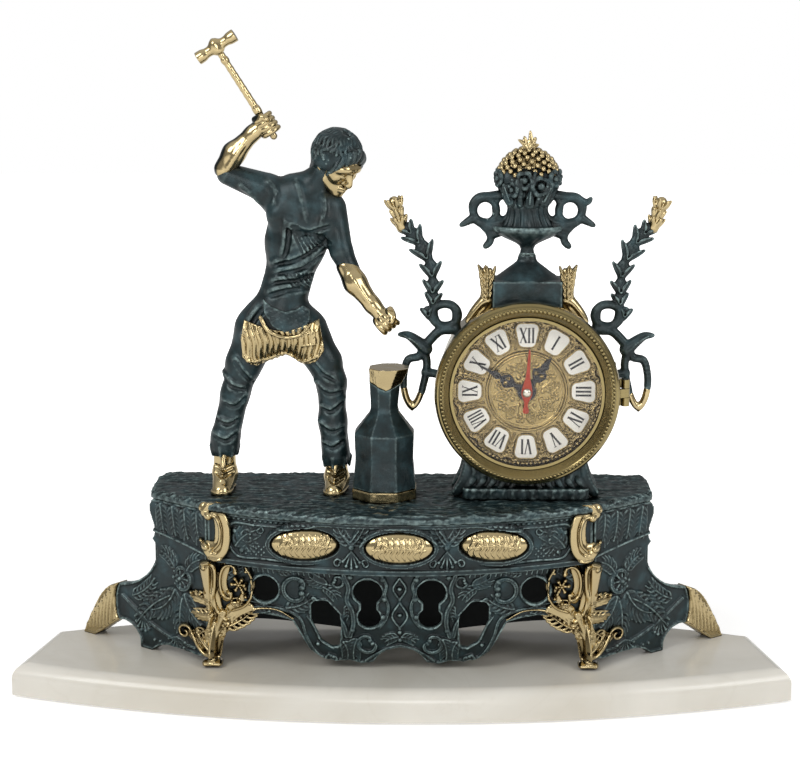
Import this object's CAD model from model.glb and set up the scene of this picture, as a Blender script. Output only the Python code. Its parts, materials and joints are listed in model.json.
# %% [markdown]
# # A figural mantel clock
# The real object is a table clock: a smith cast in zinc alloy stands at an anvil beside a round brass
# clock case, on a pierced casting with a bowed front, and all of it stands on a lens of cream marble.
# The solids come from the CAD frame. Here each visible surface gets its relief and its finish.

import json
import math

import bpy
import numpy as np
from mathutils import Matrix, Vector, noise
from mathutils.bvhtree import BVHTree

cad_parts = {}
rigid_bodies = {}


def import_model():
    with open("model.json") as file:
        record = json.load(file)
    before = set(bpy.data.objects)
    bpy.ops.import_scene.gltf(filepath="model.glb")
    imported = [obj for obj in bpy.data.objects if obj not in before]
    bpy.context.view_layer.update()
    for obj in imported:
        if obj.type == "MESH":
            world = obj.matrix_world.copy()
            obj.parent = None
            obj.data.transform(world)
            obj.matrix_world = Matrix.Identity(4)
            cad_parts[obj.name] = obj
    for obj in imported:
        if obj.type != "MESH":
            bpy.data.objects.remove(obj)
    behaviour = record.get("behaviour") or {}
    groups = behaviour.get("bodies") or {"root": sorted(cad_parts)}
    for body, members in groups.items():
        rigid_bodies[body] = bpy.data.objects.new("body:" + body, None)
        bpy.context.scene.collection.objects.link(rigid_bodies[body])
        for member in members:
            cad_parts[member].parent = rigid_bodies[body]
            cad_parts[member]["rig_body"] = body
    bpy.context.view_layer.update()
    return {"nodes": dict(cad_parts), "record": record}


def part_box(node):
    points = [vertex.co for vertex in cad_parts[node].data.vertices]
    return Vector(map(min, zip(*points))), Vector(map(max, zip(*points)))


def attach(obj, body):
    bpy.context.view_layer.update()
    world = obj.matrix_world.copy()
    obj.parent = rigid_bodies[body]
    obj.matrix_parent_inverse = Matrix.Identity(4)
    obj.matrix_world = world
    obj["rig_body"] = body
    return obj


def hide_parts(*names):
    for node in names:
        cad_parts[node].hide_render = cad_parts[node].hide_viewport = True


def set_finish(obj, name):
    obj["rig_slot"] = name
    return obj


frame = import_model()
MM = 0.001


# %% [markdown]
# ## The camera
# The photograph looks slightly down and from a little left of the middle, from far enough away for the
# edges to run almost parallel. A long lens at 1.2 m gives the same picture, and its focal length comes
# from the scale of the photograph: 0.6 mm of the object fall on one pixel at the aim point.

# %% Camera
PHOTO_WIDTH_PX = 800
MM_PER_PX = 0.60
CAMERA_DISTANCE_MM = 1220.0
CAMERA_SHIFT_MM = 25.0
CAMERA_PITCH_DEG = 11.65
AIM_MM = Vector((-1.2, 23.0, 180.0))
SENSOR_MM = 36.0


def make_camera():
    """A camera that looks at the aim point from the side and height of the photograph."""
    pitch = math.radians(CAMERA_PITCH_DEG)
    yaw = math.atan2(-CAMERA_SHIFT_MM, CAMERA_DISTANCE_MM)
    forward = Vector((math.sin(yaw) * math.cos(pitch), math.cos(yaw) * math.cos(pitch), -math.sin(pitch)))
    lens = bpy.data.cameras.new("photo_camera")
    lens.sensor_width = SENSOR_MM
    lens.lens = SENSOR_MM * CAMERA_DISTANCE_MM / MM_PER_PX / PHOTO_WIDTH_PX
    camera = bpy.data.objects.new("photo_camera", lens)
    bpy.context.scene.collection.objects.link(camera)
    camera.location = (AIM_MM - forward * CAMERA_DISTANCE_MM) * MM
    camera.rotation_euler = forward.to_track_quat("-Z", "Y").to_euler()
    bpy.context.scene.camera = camera
    print("focal length in mm:", round(lens.lens, 1))


make_camera()


# %% [markdown]
# ## Small tools
# Colours are written as sRGB hex values, as a paint card gives them, and one function turns them into
# the linear values that the renderer mixes. One more function adds a shader node with its settings and
# what feeds it, so that a material reads as a list of steps.

# %% Colours and nodes
def linear(hex_colour):
    """The linear colour, with alpha, of an sRGB hex value."""
    parts = [int(hex_colour[place : place + 2], 16) / 255 for place in (1, 3, 5)]
    curved = [part / 12.92 if part <= 0.04045 else ((part + 0.055) / 1.055) ** 2.4 for part in parts]
    return (*curved, 1.0)


def plug(node, **feeds):
    """Feed a node's sockets, by name or number: another node's socket, a plain value or a hex colour."""
    for name, value in feeds.items():
        socket = node.inputs[int(name[1:])] if name[1:].isdigit() else node.inputs[name.replace("_", " ")]
        if isinstance(value, bpy.types.NodeSocket):
            node.id_data.links.new(value, socket)
        else:
            socket.default_value = linear(value) if isinstance(value, str) else value


def add_node(tree, kind, settings=None, **feeds):
    """A shader node of one kind with its settings, a ramp's stops among them, and what feeds it."""
    node = tree.nodes.new(kind)
    for name, value in (settings or {}).items():
        if name != "stops":
            setattr(node, name, value)
            continue
        while len(node.color_ramp.elements) < len(value):
            node.color_ramp.elements.new(1.0)
        for element, (position, colour) in zip(node.color_ramp.elements, value):
            element.position = position
            element.color = linear(colour)
    plug(node, **feeds)
    return node


def new_material(name):
    """A material with its principled shader, and the position on the object in metres."""
    material = bpy.data.materials.new(name)
    material.use_nodes = True
    tree = material.node_tree
    place = tree.nodes.new("ShaderNodeTexCoord").outputs["Object"]
    return material, tree, tree.nodes["Principled BSDF"], place


def cycles_for(size_mm):
    """The scale of a texture whose features are this many millimetres across, as positions are in metres."""
    return 1.0 / (size_mm * MM)


MIXED_COLOUR = {"data_type": "RGBA"}
print("white is", [round(value, 2) for value in linear("#ffffff")])


# %% [markdown]
# ## Floor and light
# The photograph was cut out on white, so the floor shows the camera a plain white and keeps only the
# shadow that the marble throws. One could light the floor until it burns out, but then the object would
# burn out too. Instead the rays that show the surround are found by their kind and get their own white.
# Mirrors get only a share of it, because a gilt surface that sees nothing but white looks like chalk.

# %% Floor
FLOOR_SIZE_MM = 6000.0
GLOSSY_SHARE = 0.35
SHADOW_EDGE_M, WHITE_FROM_M = 0.25, 0.70
NEAR_GLOW, FAR_GLOW, HIDDEN_GLOW = 0.45, 1.2, 0.15


def shown_ray(tree):
    """1 for rays that show the surround to the camera or through the glass, and a share for mirrors."""
    path = tree.nodes.new("ShaderNodeLightPath").outputs
    mirrored = add_node(
        tree, "ShaderNodeMath", {"operation": "MULTIPLY"}, i0=path["Is Glossy Ray"], i1=GLOSSY_SHARE
    )
    direct = add_node(
        tree, "ShaderNodeMath", {"operation": "MAXIMUM"}, i0=path["Is Camera Ray"],
        i1=path["Is Transmission Ray"]
    )
    either = add_node(
        tree, "ShaderNodeMath", {"operation": "MAXIMUM"}, i0=direct.outputs[0], i1=mirrored.outputs[0]
    )
    return either.outputs[0]


def make_floor():
    """A pale floor that turns white away from the shadow."""
    mesh = bpy.data.meshes.new("floor")
    half = FLOOR_SIZE_MM * MM / 2
    mesh.from_pydata(
        [(-half, -half, 0), (half, -half, 0), (half, half, 0), (-half, half, 0)], [], [(0, 1, 2, 3)]
    )
    floor = bpy.data.objects.new("floor", mesh)
    bpy.context.scene.collection.objects.link(floor)
    material, tree, shader, _ = new_material("pale_paper_floor")
    position = tree.nodes.new("ShaderNodeNewGeometry").outputs["Position"]
    far = add_node(tree, "ShaderNodeVectorMath", {"operation": "LENGTH"}, i0=position).outputs["Value"]
    away = add_node(
        tree, "ShaderNodeMapRange", i0=far, i1=SHADOW_EDGE_M, i2=WHITE_FROM_M, i3=NEAR_GLOW, i4=FAR_GLOW
    )
    glow = add_node(tree, "ShaderNodeMix", i0=shown_ray(tree), i2=HIDDEN_GLOW, i3=away.outputs[0])
    plug(
        shader, Base_Color="#f4f3f1", Roughness=0.9, Emission_Color="#ffffff",
        Emission_Strength=glow.outputs[0]
    )
    mesh.materials.append(material)


make_floor()
print("floor in mm:", FLOOR_SIZE_MM)

# %% [markdown]
# The world is a soft studio: grey below the horizon and white above, which gives polished metal its dark
# and bright bands. Wide soft lamps from the front give the gilding its long reflections.

# %% World and lamps
WORLD_STRENGTH = 0.68
SKY_STOPS = ((0.0, "#4c4a46"), (0.42, "#7f7f7e"), (0.62, "#d2d3d4"), (0.85, "#ffffff"))
LAMP_AIM_MM = Vector((0, 0, 180))
LAMPS = (
    ("window_left", (-1100, -1200, 1300), 900, 14.0),
    ("window_right", (1200, -900, 900), 700, 7.0),
    ("strip_front", (0, -1500, 500), 500, 4.0),
)


def make_world():
    """A graded surround, plain white where the camera sees it directly."""
    world = bpy.data.worlds.new("white_surround")
    world.use_nodes = True
    bpy.context.scene.world = world
    tree = world.node_tree
    shown = shown_ray(tree)
    height = add_node(
        tree, "ShaderNodeSeparateXYZ", i0=tree.nodes.new("ShaderNodeTexCoord").outputs["Generated"]
    )
    shade = add_node(tree, "ShaderNodeValToRGB", {"stops": SKY_STOPS}, i0=height.outputs["Z"])
    seen = add_node(tree, "ShaderNodeMix", MIXED_COLOUR, i0=shown, i6=shade.outputs["Color"], i7="#ffffff")
    strength = add_node(tree, "ShaderNodeMix", i0=shown, i2=WORLD_STRENGTH, i3=1.0)
    plug(tree.nodes["Background"], Color=seen.outputs[2], Strength=strength.outputs[0])


def add_lamp(name, place_mm, size_mm, watts):
    """A square soft lamp at a place, turned to the middle of the object."""
    light = bpy.data.lights.new(name, "AREA")
    light.size = size_mm * MM
    light.energy = watts
    lamp = bpy.data.objects.new(name, light)
    bpy.context.scene.collection.objects.link(lamp)
    lamp.location = Vector(place_mm) * MM
    lamp.rotation_euler = (LAMP_AIM_MM - Vector(place_mm)).to_track_quat("-Z", "Y").to_euler()


make_world()
for lamp_values in LAMPS:
    add_lamp(*lamp_values)
bpy.context.scene.view_settings.view_transform = "Standard"
print("lamps:", len(bpy.data.lights))


# %% [markdown]
# ## Finishes
# Zinc castings of this kind are plated and then stained: a green-black patina lies in every hollow and
# is rubbed back to a pale grey-green on the ridges. An ambient occlusion node finds the hollows, and
# the pointiness of a dense mesh finds the ridges, so one material serves all the dark pieces.

# %% Green-black patina on cast zinc
PATINA_MOTTLE_MM = 9.0
PATINA_SCUFF_MM = 2.5
PATINA_GRAIN_MM = 0.9
PATINA_GRAIN_DEPTH_MM = 0.12
HOLLOW_REACH_MM = 5.0
STAIN_STOPS = ((0.28, "#0d1819"), (0.52, "#1a2b2e"), (0.74, "#2f474c"))


def rubbed_patina():
    """Satin stain on a casting: dark in the hollows, rubbed on the ridges, with a fine sandy grain."""
    material, tree, shader, place = new_material("rubbed_green_patina")
    mottle = add_node(
        tree, "ShaderNodeTexNoise", Vector=place, Scale=cycles_for(PATINA_MOTTLE_MM), Detail=6.0
    )
    stain = add_node(tree, "ShaderNodeValToRGB", {"stops": STAIN_STOPS}, i0=mottle.outputs["Fac"])
    ridge = tree.nodes.new("ShaderNodeNewGeometry").outputs["Pointiness"]
    worn = add_node(tree, "ShaderNodeMapRange", i0=ridge, i1=0.508, i2=0.565)
    scuff = add_node(tree, "ShaderNodeTexNoise", Vector=place, Scale=cycles_for(PATINA_SCUFF_MM), Detail=4.0)
    rub = add_node(tree, "ShaderNodeMapRange", i0=scuff.outputs["Fac"], i1=0.30, i2=0.66)
    patchy = add_node(
        tree, "ShaderNodeMath", {"operation": "MULTIPLY"}, i0=worn.outputs[0], i1=rub.outputs[0]
    )
    rubbed = add_node(
        tree, "ShaderNodeMix", MIXED_COLOUR, i0=patchy.outputs[0], i6=stain.outputs["Color"], i7="#94aaa8"
    )
    hollow = add_node(tree, "ShaderNodeAmbientOcclusion", {"samples": 6}, Distance=HOLLOW_REACH_MM * MM)
    depth = add_node(tree, "ShaderNodeMapRange", i0=hollow.outputs["AO"], i1=0.40, i2=0.92)
    colour = add_node(
        tree, "ShaderNodeMix", MIXED_COLOUR, i0=depth.outputs[0], i6="#060b0b", i7=rubbed.outputs[2]
    )
    gloss = add_node(tree, "ShaderNodeMapRange", i0=mottle.outputs["Fac"], i3=0.30, i4=0.46)
    grain = add_node(tree, "ShaderNodeTexNoise", Vector=place, Scale=cycles_for(PATINA_GRAIN_MM), Detail=3.0)
    sand = add_node(
        tree, "ShaderNodeBump", Strength=0.6, Distance=PATINA_GRAIN_DEPTH_MM * MM, Height=grain.outputs["Fac"]
    )
    plug(
        shader, Base_Color=colour.outputs[2], Metallic=0.35, Roughness=gloss.outputs[0],
        Normal=sand.outputs[0]
    )
    return material


PATINA = rubbed_patina()
print("patina nodes:", len(PATINA.node_tree.nodes))


# %% [markdown]
# The gilding is a bright brass plate. Cast and polished brass is warm and sharp in its reflections, and
# what polish is left in the hollows dries brown. The bezel and the case are spun brass under lacquer:
# the same metal with finer marks and softer reflections.

# %% Brass finishes
POLISH_MM = 4.0


def brass(name, bright, brown, roughness, grain_mm, grain_depth_mm, reach_mm=3.0):
    """Plated brass with brown hollows and a fine uneven polish."""
    material, tree, shader, place = new_material(name)
    hollow = add_node(tree, "ShaderNodeAmbientOcclusion", {"samples": 6}, Distance=reach_mm * MM)
    depth = add_node(tree, "ShaderNodeMapRange", i0=hollow.outputs["AO"], i1=0.30, i2=0.85)
    tone = add_node(tree, "ShaderNodeMix", MIXED_COLOUR, i0=depth.outputs[0], i6=brown, i7=bright)
    polish = add_node(tree, "ShaderNodeTexNoise", Vector=place, Scale=cycles_for(POLISH_MM), Detail=3.0)
    gloss = add_node(
        tree, "ShaderNodeMapRange", i0=polish.outputs["Fac"], i3=roughness * 0.75, i4=roughness * 1.35
    )
    grain = add_node(tree, "ShaderNodeTexNoise", Vector=place, Scale=cycles_for(grain_mm), Detail=2.0)
    marks = add_node(
        tree, "ShaderNodeBump", Strength=0.7, Distance=grain_depth_mm * MM, Height=grain.outputs["Fac"]
    )
    plug(
        shader, Base_Color=tone.outputs[2], Metallic=1.0, Roughness=gloss.outputs[0],
        Normal=marks.outputs[0]
    )
    return material


GILT = brass("polished_gilt_on_casting", "#b9a77e", "#2c2010", 0.17, 2.6, 0.045)
SPUN_BRASS = brass("lacquered_spun_brass", "#90825a", "#352a16", 0.17, 0.5, 0.012)
EMBOSSED_BRASS = brass("embossed_medallion_brass", "#9a875c", "#140d04", 0.18, 2.6, 0.40, 1.0)
PRESSED_BRASS = brass("pressed_dial_brass", "#93815a", "#1f1508", 0.24, 0.7, 0.07, 1.2)
print("brass finishes:", [finish.name for finish in (GILT, SPUN_BRASS, EMBOSSED_BRASS, PRESSED_BRASS)])

# %% [markdown]
# The forearms were gilt and then polished from one side, so their far side keeps the dark stain. The
# direction in which the surface faces decides which of the two shows.

# %% Gilt with a stained edge
STAINED_SIDE = Vector((-0.86, 0.48, 0.12)).normalized()


def dark_edge_gilt():
    """Gilt whose far side keeps the dark stain: the polishing wheel only met the side it came from."""
    material = GILT.copy()
    material.name = "gilt_with_stained_edge"
    tree = material.node_tree
    shader = next(node for node in tree.nodes if node.type == "BSDF_PRINCIPLED")
    tone = shader.inputs["Base Color"].links[0].from_socket
    normal = tree.nodes.new("ShaderNodeNewGeometry").outputs["Normal"]
    facing = add_node(tree, "ShaderNodeVectorMath", {"operation": "DOT_PRODUCT"}, i0=normal, i1=STAINED_SIDE)
    edge = add_node(tree, "ShaderNodeMapRange", i0=facing.outputs["Value"], i1=0.10, i2=0.34)
    mixed = add_node(tree, "ShaderNodeMix", MIXED_COLOUR, i0=edge.outputs[0], i6=tone, i7="#172626")
    plug(shader, Base_Color=mixed.outputs[2])
    return material


GILT_TO_DARK = dark_edge_gilt()
print("stained side:", [round(value, 2) for value in STAINED_SIDE])


# %% [markdown]
# The plinth is cream marble, sawn, ground and polished. Marble lets light in a little, so its edges look
# soft, and faint grey clouds and a few thin veins run through it. A vein is a narrow band of values of a
# strongly twisted noise.

# %% Marble
CLOUD_MM = 90.0
VEIN_MM = 140.0
CLOUD_STOPS = ((0.3, "#cdc7ba"), (0.55, "#d8d4ca"), (0.8, "#e2ded5"))
VEIN_STOPS = ((0.47, "#000000"), (0.496, "#3a3a3a"), (0.50, "#5a5a5a"), (0.506, "#303030"), (0.53, "#000000"))
LIGHT_REACH_M = (0.004, 0.0035, 0.003)


def cream_marble():
    """Polished marble with soft clouds and faint veins."""
    material, tree, shader, place = new_material("polished_cream_marble")
    cloud = add_node(
        tree, "ShaderNodeTexNoise", Vector=place, Scale=cycles_for(CLOUD_MM), Detail=5.0, Distortion=0.6
    )
    ground = add_node(tree, "ShaderNodeValToRGB", {"stops": CLOUD_STOPS}, i0=cloud.outputs["Fac"])
    vein = add_node(
        tree, "ShaderNodeTexNoise", Vector=place, Scale=cycles_for(VEIN_MM), Detail=8.0, Distortion=2.4
    )
    thin = add_node(
        tree, "ShaderNodeValToRGB", {"stops": VEIN_STOPS}, i0=vein.outputs["Fac"]
    ).outputs["Color"]
    stone = add_node(tree, "ShaderNodeMix", MIXED_COLOUR, i0=thin, i6=ground.outputs["Color"], i7="#b9b0a0")
    plug(shader, Base_Color=stone.outputs[2], Roughness=0.22, IOR=1.5)
    plug(shader, Subsurface_Weight=0.12, Subsurface_Radius=LIGHT_REACH_M, Subsurface_Scale=1.0)
    return material


MARBLE = cream_marble()
print("marble clouds in mm:", CLOUD_MM)


# %% [markdown]
# The rest are plain shop finishes: fired enamel on the numeral plaques, lacquer on the steel hands, a
# clear glass, moulded plastic for the movement, felt under the plinth and bright steel for the screws.

# %% Plain finishes
def plain(name, colour, second, roughness, metallic=0.0, grain_mm=1.0, depth_mm=0.02, mottle_mm=6.0):
    """A finish of two close colours that drift into each other, with a fine grain."""
    material, tree, shader, place = new_material(name)
    drift = add_node(tree, "ShaderNodeTexNoise", Vector=place, Scale=cycles_for(mottle_mm), Detail=4.0)
    tone = add_node(
        tree, "ShaderNodeValToRGB", {"stops": ((0.3, colour), (0.75, second))}, i0=drift.outputs["Fac"]
    )
    grain = add_node(tree, "ShaderNodeTexNoise", Vector=place, Scale=cycles_for(grain_mm), Detail=2.0)
    skin = add_node(tree, "ShaderNodeBump", Strength=0.6, Distance=depth_mm * MM, Height=grain.outputs["Fac"])
    plug(
        shader, Base_Color=tone.outputs["Color"], Metallic=metallic, Roughness=roughness,
        Normal=skin.outputs[0]
    )
    return material


def clear_glass():
    """Thin clear glass: mostly transparent, with a sharp reflection on its dome."""
    material, tree, shader, _ = new_material("clear_dome_glass")
    rim = add_node(tree, "ShaderNodeFresnel", IOR=1.25)
    faint = add_node(tree, "ShaderNodeMapRange", i0=rim.outputs[0], i3=0.015, i4=0.35)
    plug(shader, Base_Color="#ffffff", Roughness=0.02, Metallic=0.0, IOR=1.45, Alpha=faint.outputs[0])
    return material


ENAMEL = plain("fired_white_enamel", "#f2efe6", "#e9e4d8", 0.14, mottle_mm=12.0)
NUMERAL_BLACK = plain("fired_black_enamel", "#17161a", "#222126", 0.25)
HAND_BLACK = plain("black_lacquered_steel", "#141416", "#232326", 0.22, 0.3)
SECOND_RED = plain("copper_red_lacquer", "#8e2a14", "#a83a1c", 0.28, 0.5)
CAP_METAL = plain("bright_rivet_metal", "#c9c2b4", "#e0dacd", 0.25, 0.9)
MOVEMENT_BLACK = plain("moulded_black_plastic", "#1b1b1d", "#242427", 0.55, grain_mm=0.5, depth_mm=0.05)
KNOB_WHITE = plain("moulded_white_plastic", "#d9d8d2", "#cfcec8", 0.45, grain_mm=0.5)
BATTERY_GREEN = plain("lacquered_battery_jacket", "#123d28", "#174a31", 0.30, 0.4)
FELT = plain("pressed_green_felt", "#1d3a28", "#274a34", 0.95, grain_mm=0.6, depth_mm=0.4)
RAW_CASTING = plain("unpolished_dark_casting", "#0a0f10", "#121819", 0.7, 0.2, grain_mm=1.2, depth_mm=0.1)
STEEL = plain("plated_steel", "#a9aaac", "#c2c3c5", 0.30, 1.0)
GLASS = clear_glass()
print("materials:", len(bpy.data.materials))


# %% [markdown]
# ## Finishes for the CAD pieces
# Each solid whose shape is right stays as it is and only takes its finish. The back panel is raw inside
# the casting, where no wheel reaches, and stays unpolished.

# %% Give the CAD pieces their finishes
SLOT_FINISH = {
    "marble": MARBLE,
    "felt": FELT,
    "steel": STEEL,
    "patina": PATINA,
    "gilt": GILT,
    "case_gilt": SPUN_BRASS,
    "dial_gilt": PRESSED_BRASS,
    "enamel": ENAMEL,
    "clear_glass": GLASS,
    "black_steel": HAND_BLACK,
    "copper_red": SECOND_RED,
    "black_plastic": MOVEMENT_BLACK,
    "white_plastic": KNOB_WHITE,
    "battery_jacket": BATTERY_GREEN,
}
node_slot = {entry["node"]: entry["material_slot"] for entry in frame["record"]["subparts"]}
for node_name, node_object in frame["nodes"].items():
    finish = RAW_CASTING if node_name == "back_panel" else SLOT_FINISH[node_slot[node_name]]
    node_object.data.materials.clear()
    node_object.data.materials.append(finish)
print("finished CAD pieces:", len(node_slot))


# %% [markdown]
# ## Relief that hugs the casting
# The scrolls, shells and leaves are a few millimetres of relief on a curved plate. Modelling them one by
# one would take a sculptor's week, so they are drawn instead: each scroll is a rounded stroke on a height
# map, and where strokes cross, the higher one shows.

# %% Height maps
DOT_LENGTH_MM = 0.01


def height_map(x_range, z_range, cell, origin=(0.0, 0.0)):
    """An empty height map over a range of places, in millimetres; drawings on it start at the origin."""
    across = np.arange(x_range[0], x_range[1] + cell / 2, cell)
    up = np.arange(z_range[0], z_range[1] + cell / 2, cell)
    return {"x": across, "z": up, "cell": cell, "origin": origin, "h": np.zeros((len(up), len(across)))}


def smooth_path(points, steps=8):
    """A smooth line through a few points, with its widths and heights carried along."""
    rows = np.array(points, float)
    ends = np.vstack([2 * rows[0] - rows[1], rows, 2 * rows[-1] - rows[-2]])
    line = []
    for index in range(len(rows) - 1):
        a, b, c, d = ends[index : index + 4]
        for step in range(steps):
            t = step / steps
            bend = (2 * a - 5 * b + 4 * c - d) * t**2 + (3 * b - a - 3 * c + d) * t**3
            line.append(0.5 * (2 * b + (c - a) * t + bend))
    line.append(rows[-1])
    return np.array(line)


def stroke(relief, points, width, height, taper=0.0, groove=0.0, smooth=True):
    """A rounded ridge along a line; it may taper to its end and carry a groove along its middle."""
    points = np.array(points, float) + relief["origin"]
    line = smooth_path(points) if smooth and len(points) > 2 else points
    cell = relief["cell"]
    count = len(line) - 1
    for index in range(count):
        (x0, z0), (x1, z1) = line[index], line[index + 1]
        share = 1 - taper * (index + 0.5) / count
        half = max(width * share / 2, cell)
        low_x, high_x = np.searchsorted(relief["x"], (min(x0, x1) - half, max(x0, x1) + half))
        low_z, high_z = np.searchsorted(relief["z"], (min(z0, z1) - half, max(z0, z1) + half))
        if low_x == high_x or low_z == high_z:
            continue
        gx, gz = np.meshgrid(relief["x"][low_x:high_x], relief["z"][low_z:high_z])
        dx, dz = x1 - x0, z1 - z0
        along = np.clip(((gx - x0) * dx + (gz - z0) * dz) / max(dx * dx + dz * dz, 1e-9), 0, 1)
        off = np.hypot(gx - x0 - along * dx, gz - z0 - along * dz) / half
        ridge = height * (0.55 + 0.45 * share) * np.sqrt(np.clip(1 - off**2, 0, 1))
        ridge -= groove * height * np.exp(-((off / 0.28) ** 2)) * (off < 1)
        part = relief["h"][low_z:high_z, low_x:high_x]
        np.maximum(part, ridge, out=part)


def dots(relief, places, width, height):
    """Round beads at places."""
    for x, z in places:
        stroke(relief, [(x, z), (x + DOT_LENGTH_MM, z)], width, height, smooth=False)


print("smooth line of 3 points:", len(smooth_path([(0, 0), (1, 1), (2, 0)])), "places")

# %% [markdown]
# Rococo ornament has a small vocabulary: the C scroll, whose ends curl to an eye, the acanthus leaf, whose
# lobes fan out from a bent rib, and the palmette shell. Each is one function of a few strokes, so a whole
# frieze can be written as a list of scrolls, leaves and shells.

# %% Scrolls, leaves and shells
def on_circle(middle, reach, angle):
    """A place at an angle and a distance from a middle in the front view; both may be rows of values."""
    return middle[0] + reach * np.cos(angle), middle[1] + reach * np.sin(angle)


def curl(centre, radius, start_deg, sweep_deg, inner=0.3):
    """Points of a curl that winds in to its middle."""
    turns = np.linspace(0, 1, 16)
    reach = radius * (1 - (1 - inner) * turns**1.1)
    return list(zip(*on_circle(centre, reach, np.radians(start_deg + sweep_deg * turns))))


def c_scroll(relief, centre, radius, start_deg, sweep_deg, width, height):
    """A C scroll: an arc whose both ends curl inwards to a small eye."""
    turns = np.linspace(0, 1, 30)
    reach = radius * (0.30 + 0.70 * np.sin(np.pi * turns) ** 0.55)
    points = list(zip(*on_circle(centre, reach, np.radians(start_deg + sweep_deg * turns))))
    stroke(relief, points, width, height, groove=0.25, smooth=False)
    dots(relief, (points[0], points[-1]), width * 1.35, height * 1.15)


def leaf(relief, root, tip, bend, width, height, lobes=5):
    """An acanthus leaf: lobes fan out from both sides of a bent rib."""
    root, tip = np.array(root, float), np.array(tip, float)
    axis = tip - root
    side = np.array((-axis[1], axis[0])) / float(np.hypot(*axis))
    middle = (root + tip) / 2 + side * bend
    share = np.linspace(0, 1, 2 * lobes + 2)[:, None]
    rib = (1 - share) ** 2 * root + 2 * share * (1 - share) * middle + share**2 * tip
    for index in range(lobes):
        t = (index + 0.5) / lobes
        place = rib[2 * index]
        ahead = rib[2 * index + 2] - rib[2 * index]
        ahead /= max(np.hypot(*ahead), 1e-6)
        out = np.array((-ahead[1], ahead[0]))
        reach = width * (0.45 + 0.55 * math.sin(math.pi * (0.25 + 0.65 * t)))
        for turn in (-1, 1):
            knee = place + ahead * reach * 0.35 + out * turn * reach * 0.55
            end = place + ahead * reach + out * turn * reach * 0.75
            lobe_height = height * (0.9 - 0.35 * t)
            stroke(relief, [place, knee, end], width * 0.42, lobe_height, taper=0.45, groove=0.2)
    stroke(relief, rib, width * 0.30, height * 1.1, taper=0.6)


def shell(relief, root, length, start_deg, sweep_deg, ribs, width, height):
    """A palmette shell: ribs that fan out from a root."""
    for index in range(ribs):
        angle = math.radians(start_deg + sweep_deg * index / (ribs - 1))
        end = on_circle(root, length * (0.78 + 0.22 * math.sin(math.pi * index / (ribs - 1))), angle)
        stroke(relief, [end, root], width, height, taper=0.65, smooth=False)
        dots(relief, [end], width * 1.15, height * 1.1)


print("a curl has", len(curl((0, 0), 1, 0, 360)), "places")

# %% [markdown]
# A drawing becomes a casting when it is laid on the solid. Rays shot at the CAD piece find where the plate
# is under each point of the map, and where a ray misses, the plate is pierced. The result is one dense
# shell with the openings of the solid. Displacing the CAD mesh itself would be shorter, but its long thin
# triangles can't carry fine relief.

# %% Search trees, edges and pieces
def solid_of(*names):
    """A search tree of the surfaces of CAD pieces."""
    corners, faces = [], []
    for name in names:
        mesh = frame["nodes"][name].data
        start = len(corners)
        corners.extend(vertex.co.copy() for vertex in mesh.vertices)
        faces.extend([start + index for index in face.vertices] for face in mesh.polygons)
    return BVHTree.FromPolygons(corners, faces)


def edge_distance(kept, steps):
    """For each kept cell, how many cells it lies from the edge, up to a number of steps."""
    distance = np.zeros(kept.shape)
    layer = kept.copy()
    for step in range(steps):
        distance[layer] = step + 1
        inner = layer.copy()
        inner[1:] &= layer[:-1]
        inner[:-1] &= layer[1:]
        inner[:, 1:] &= layer[:, :-1]
        inner[:, :-1] &= layer[:, 1:]
        inner[[0, -1]] = False
        inner[:, [0, -1]] = False
        layer = inner
    return distance


def place_object(name, mesh, body, slot, replaces=()):
    """A mesh as a named piece that rides on its body and may stand for CAD pieces."""
    piece = bpy.data.objects.new(name, mesh)
    bpy.context.scene.collection.objects.link(piece)
    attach(piece, body)
    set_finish(piece, slot)
    if replaces:
        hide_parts(*replaces)
    print(name, "corners:", len(mesh.vertices))
    return piece


def new_piece(name, corners_mm, faces, material, body, slot, replaces=()):
    """A named piece from corners in millimetres and faces."""
    mesh = bpy.data.meshes.new(name)
    mesh.from_pydata([tuple(corner) for corner in np.array(corners_mm) * MM], [], faces)
    mesh.validate()
    mesh.shade_smooth()
    mesh.materials.append(material)
    return place_object(name, mesh, body, slot, replaces)


def mirrored_piece(piece, name, replaces=(), about_mm=0.0):
    """The right-hand twin of a piece, about the middle or another place in X."""
    mesh = piece.data.copy()
    mesh.transform(Matrix.Translation((2 * about_mm * MM, 0, 0)) @ Matrix.Diagonal((-1, 1, 1, 1)))
    mesh.flip_normals()
    return place_object(name, mesh, piece["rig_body"], piece["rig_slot"], replaces)


print("faces of the plinth:", len(frame["nodes"]["marble_plinth"].data.polygons))

# %% [markdown]
# The shell is made in three steps: find the depth of the plate under each cell, raise the front by the
# drawing and by a lip along every edge, and close the two skins along their border. The stairs that the
# cells leave along the border are evened out by moving each border corner halfway to its neighbours.

# %% Relief shells
RAY_START_MM = 150
RAY_REACH_M = 0.4
WRAP_MM = 14
LEAST_RELIEF_MM = 0.3
BORDER_PASSES = 4
FRONT_VIEW = ((0, 0, 0), (1, 0, 0), (0, 1, 0))


def plate_depth(relief, tree, origin, across, inward):
    """How far the solid lies behind each cell of the map, in millimetres; nothing where a ray misses."""
    depth = np.full(relief["h"].shape, np.nan)
    for row, z in enumerate(relief["z"]):
        for column, x in enumerate(relief["x"]):
            start = (origin + across * x + Vector((0, 0, z)) - inward * RAY_START_MM) * MM
            hit = tree.ray_cast(start, inward, RAY_REACH_M)
            if hit[0] is not None:
                depth[row, column] = hit[3] / MM - RAY_START_MM
    return depth


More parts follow.
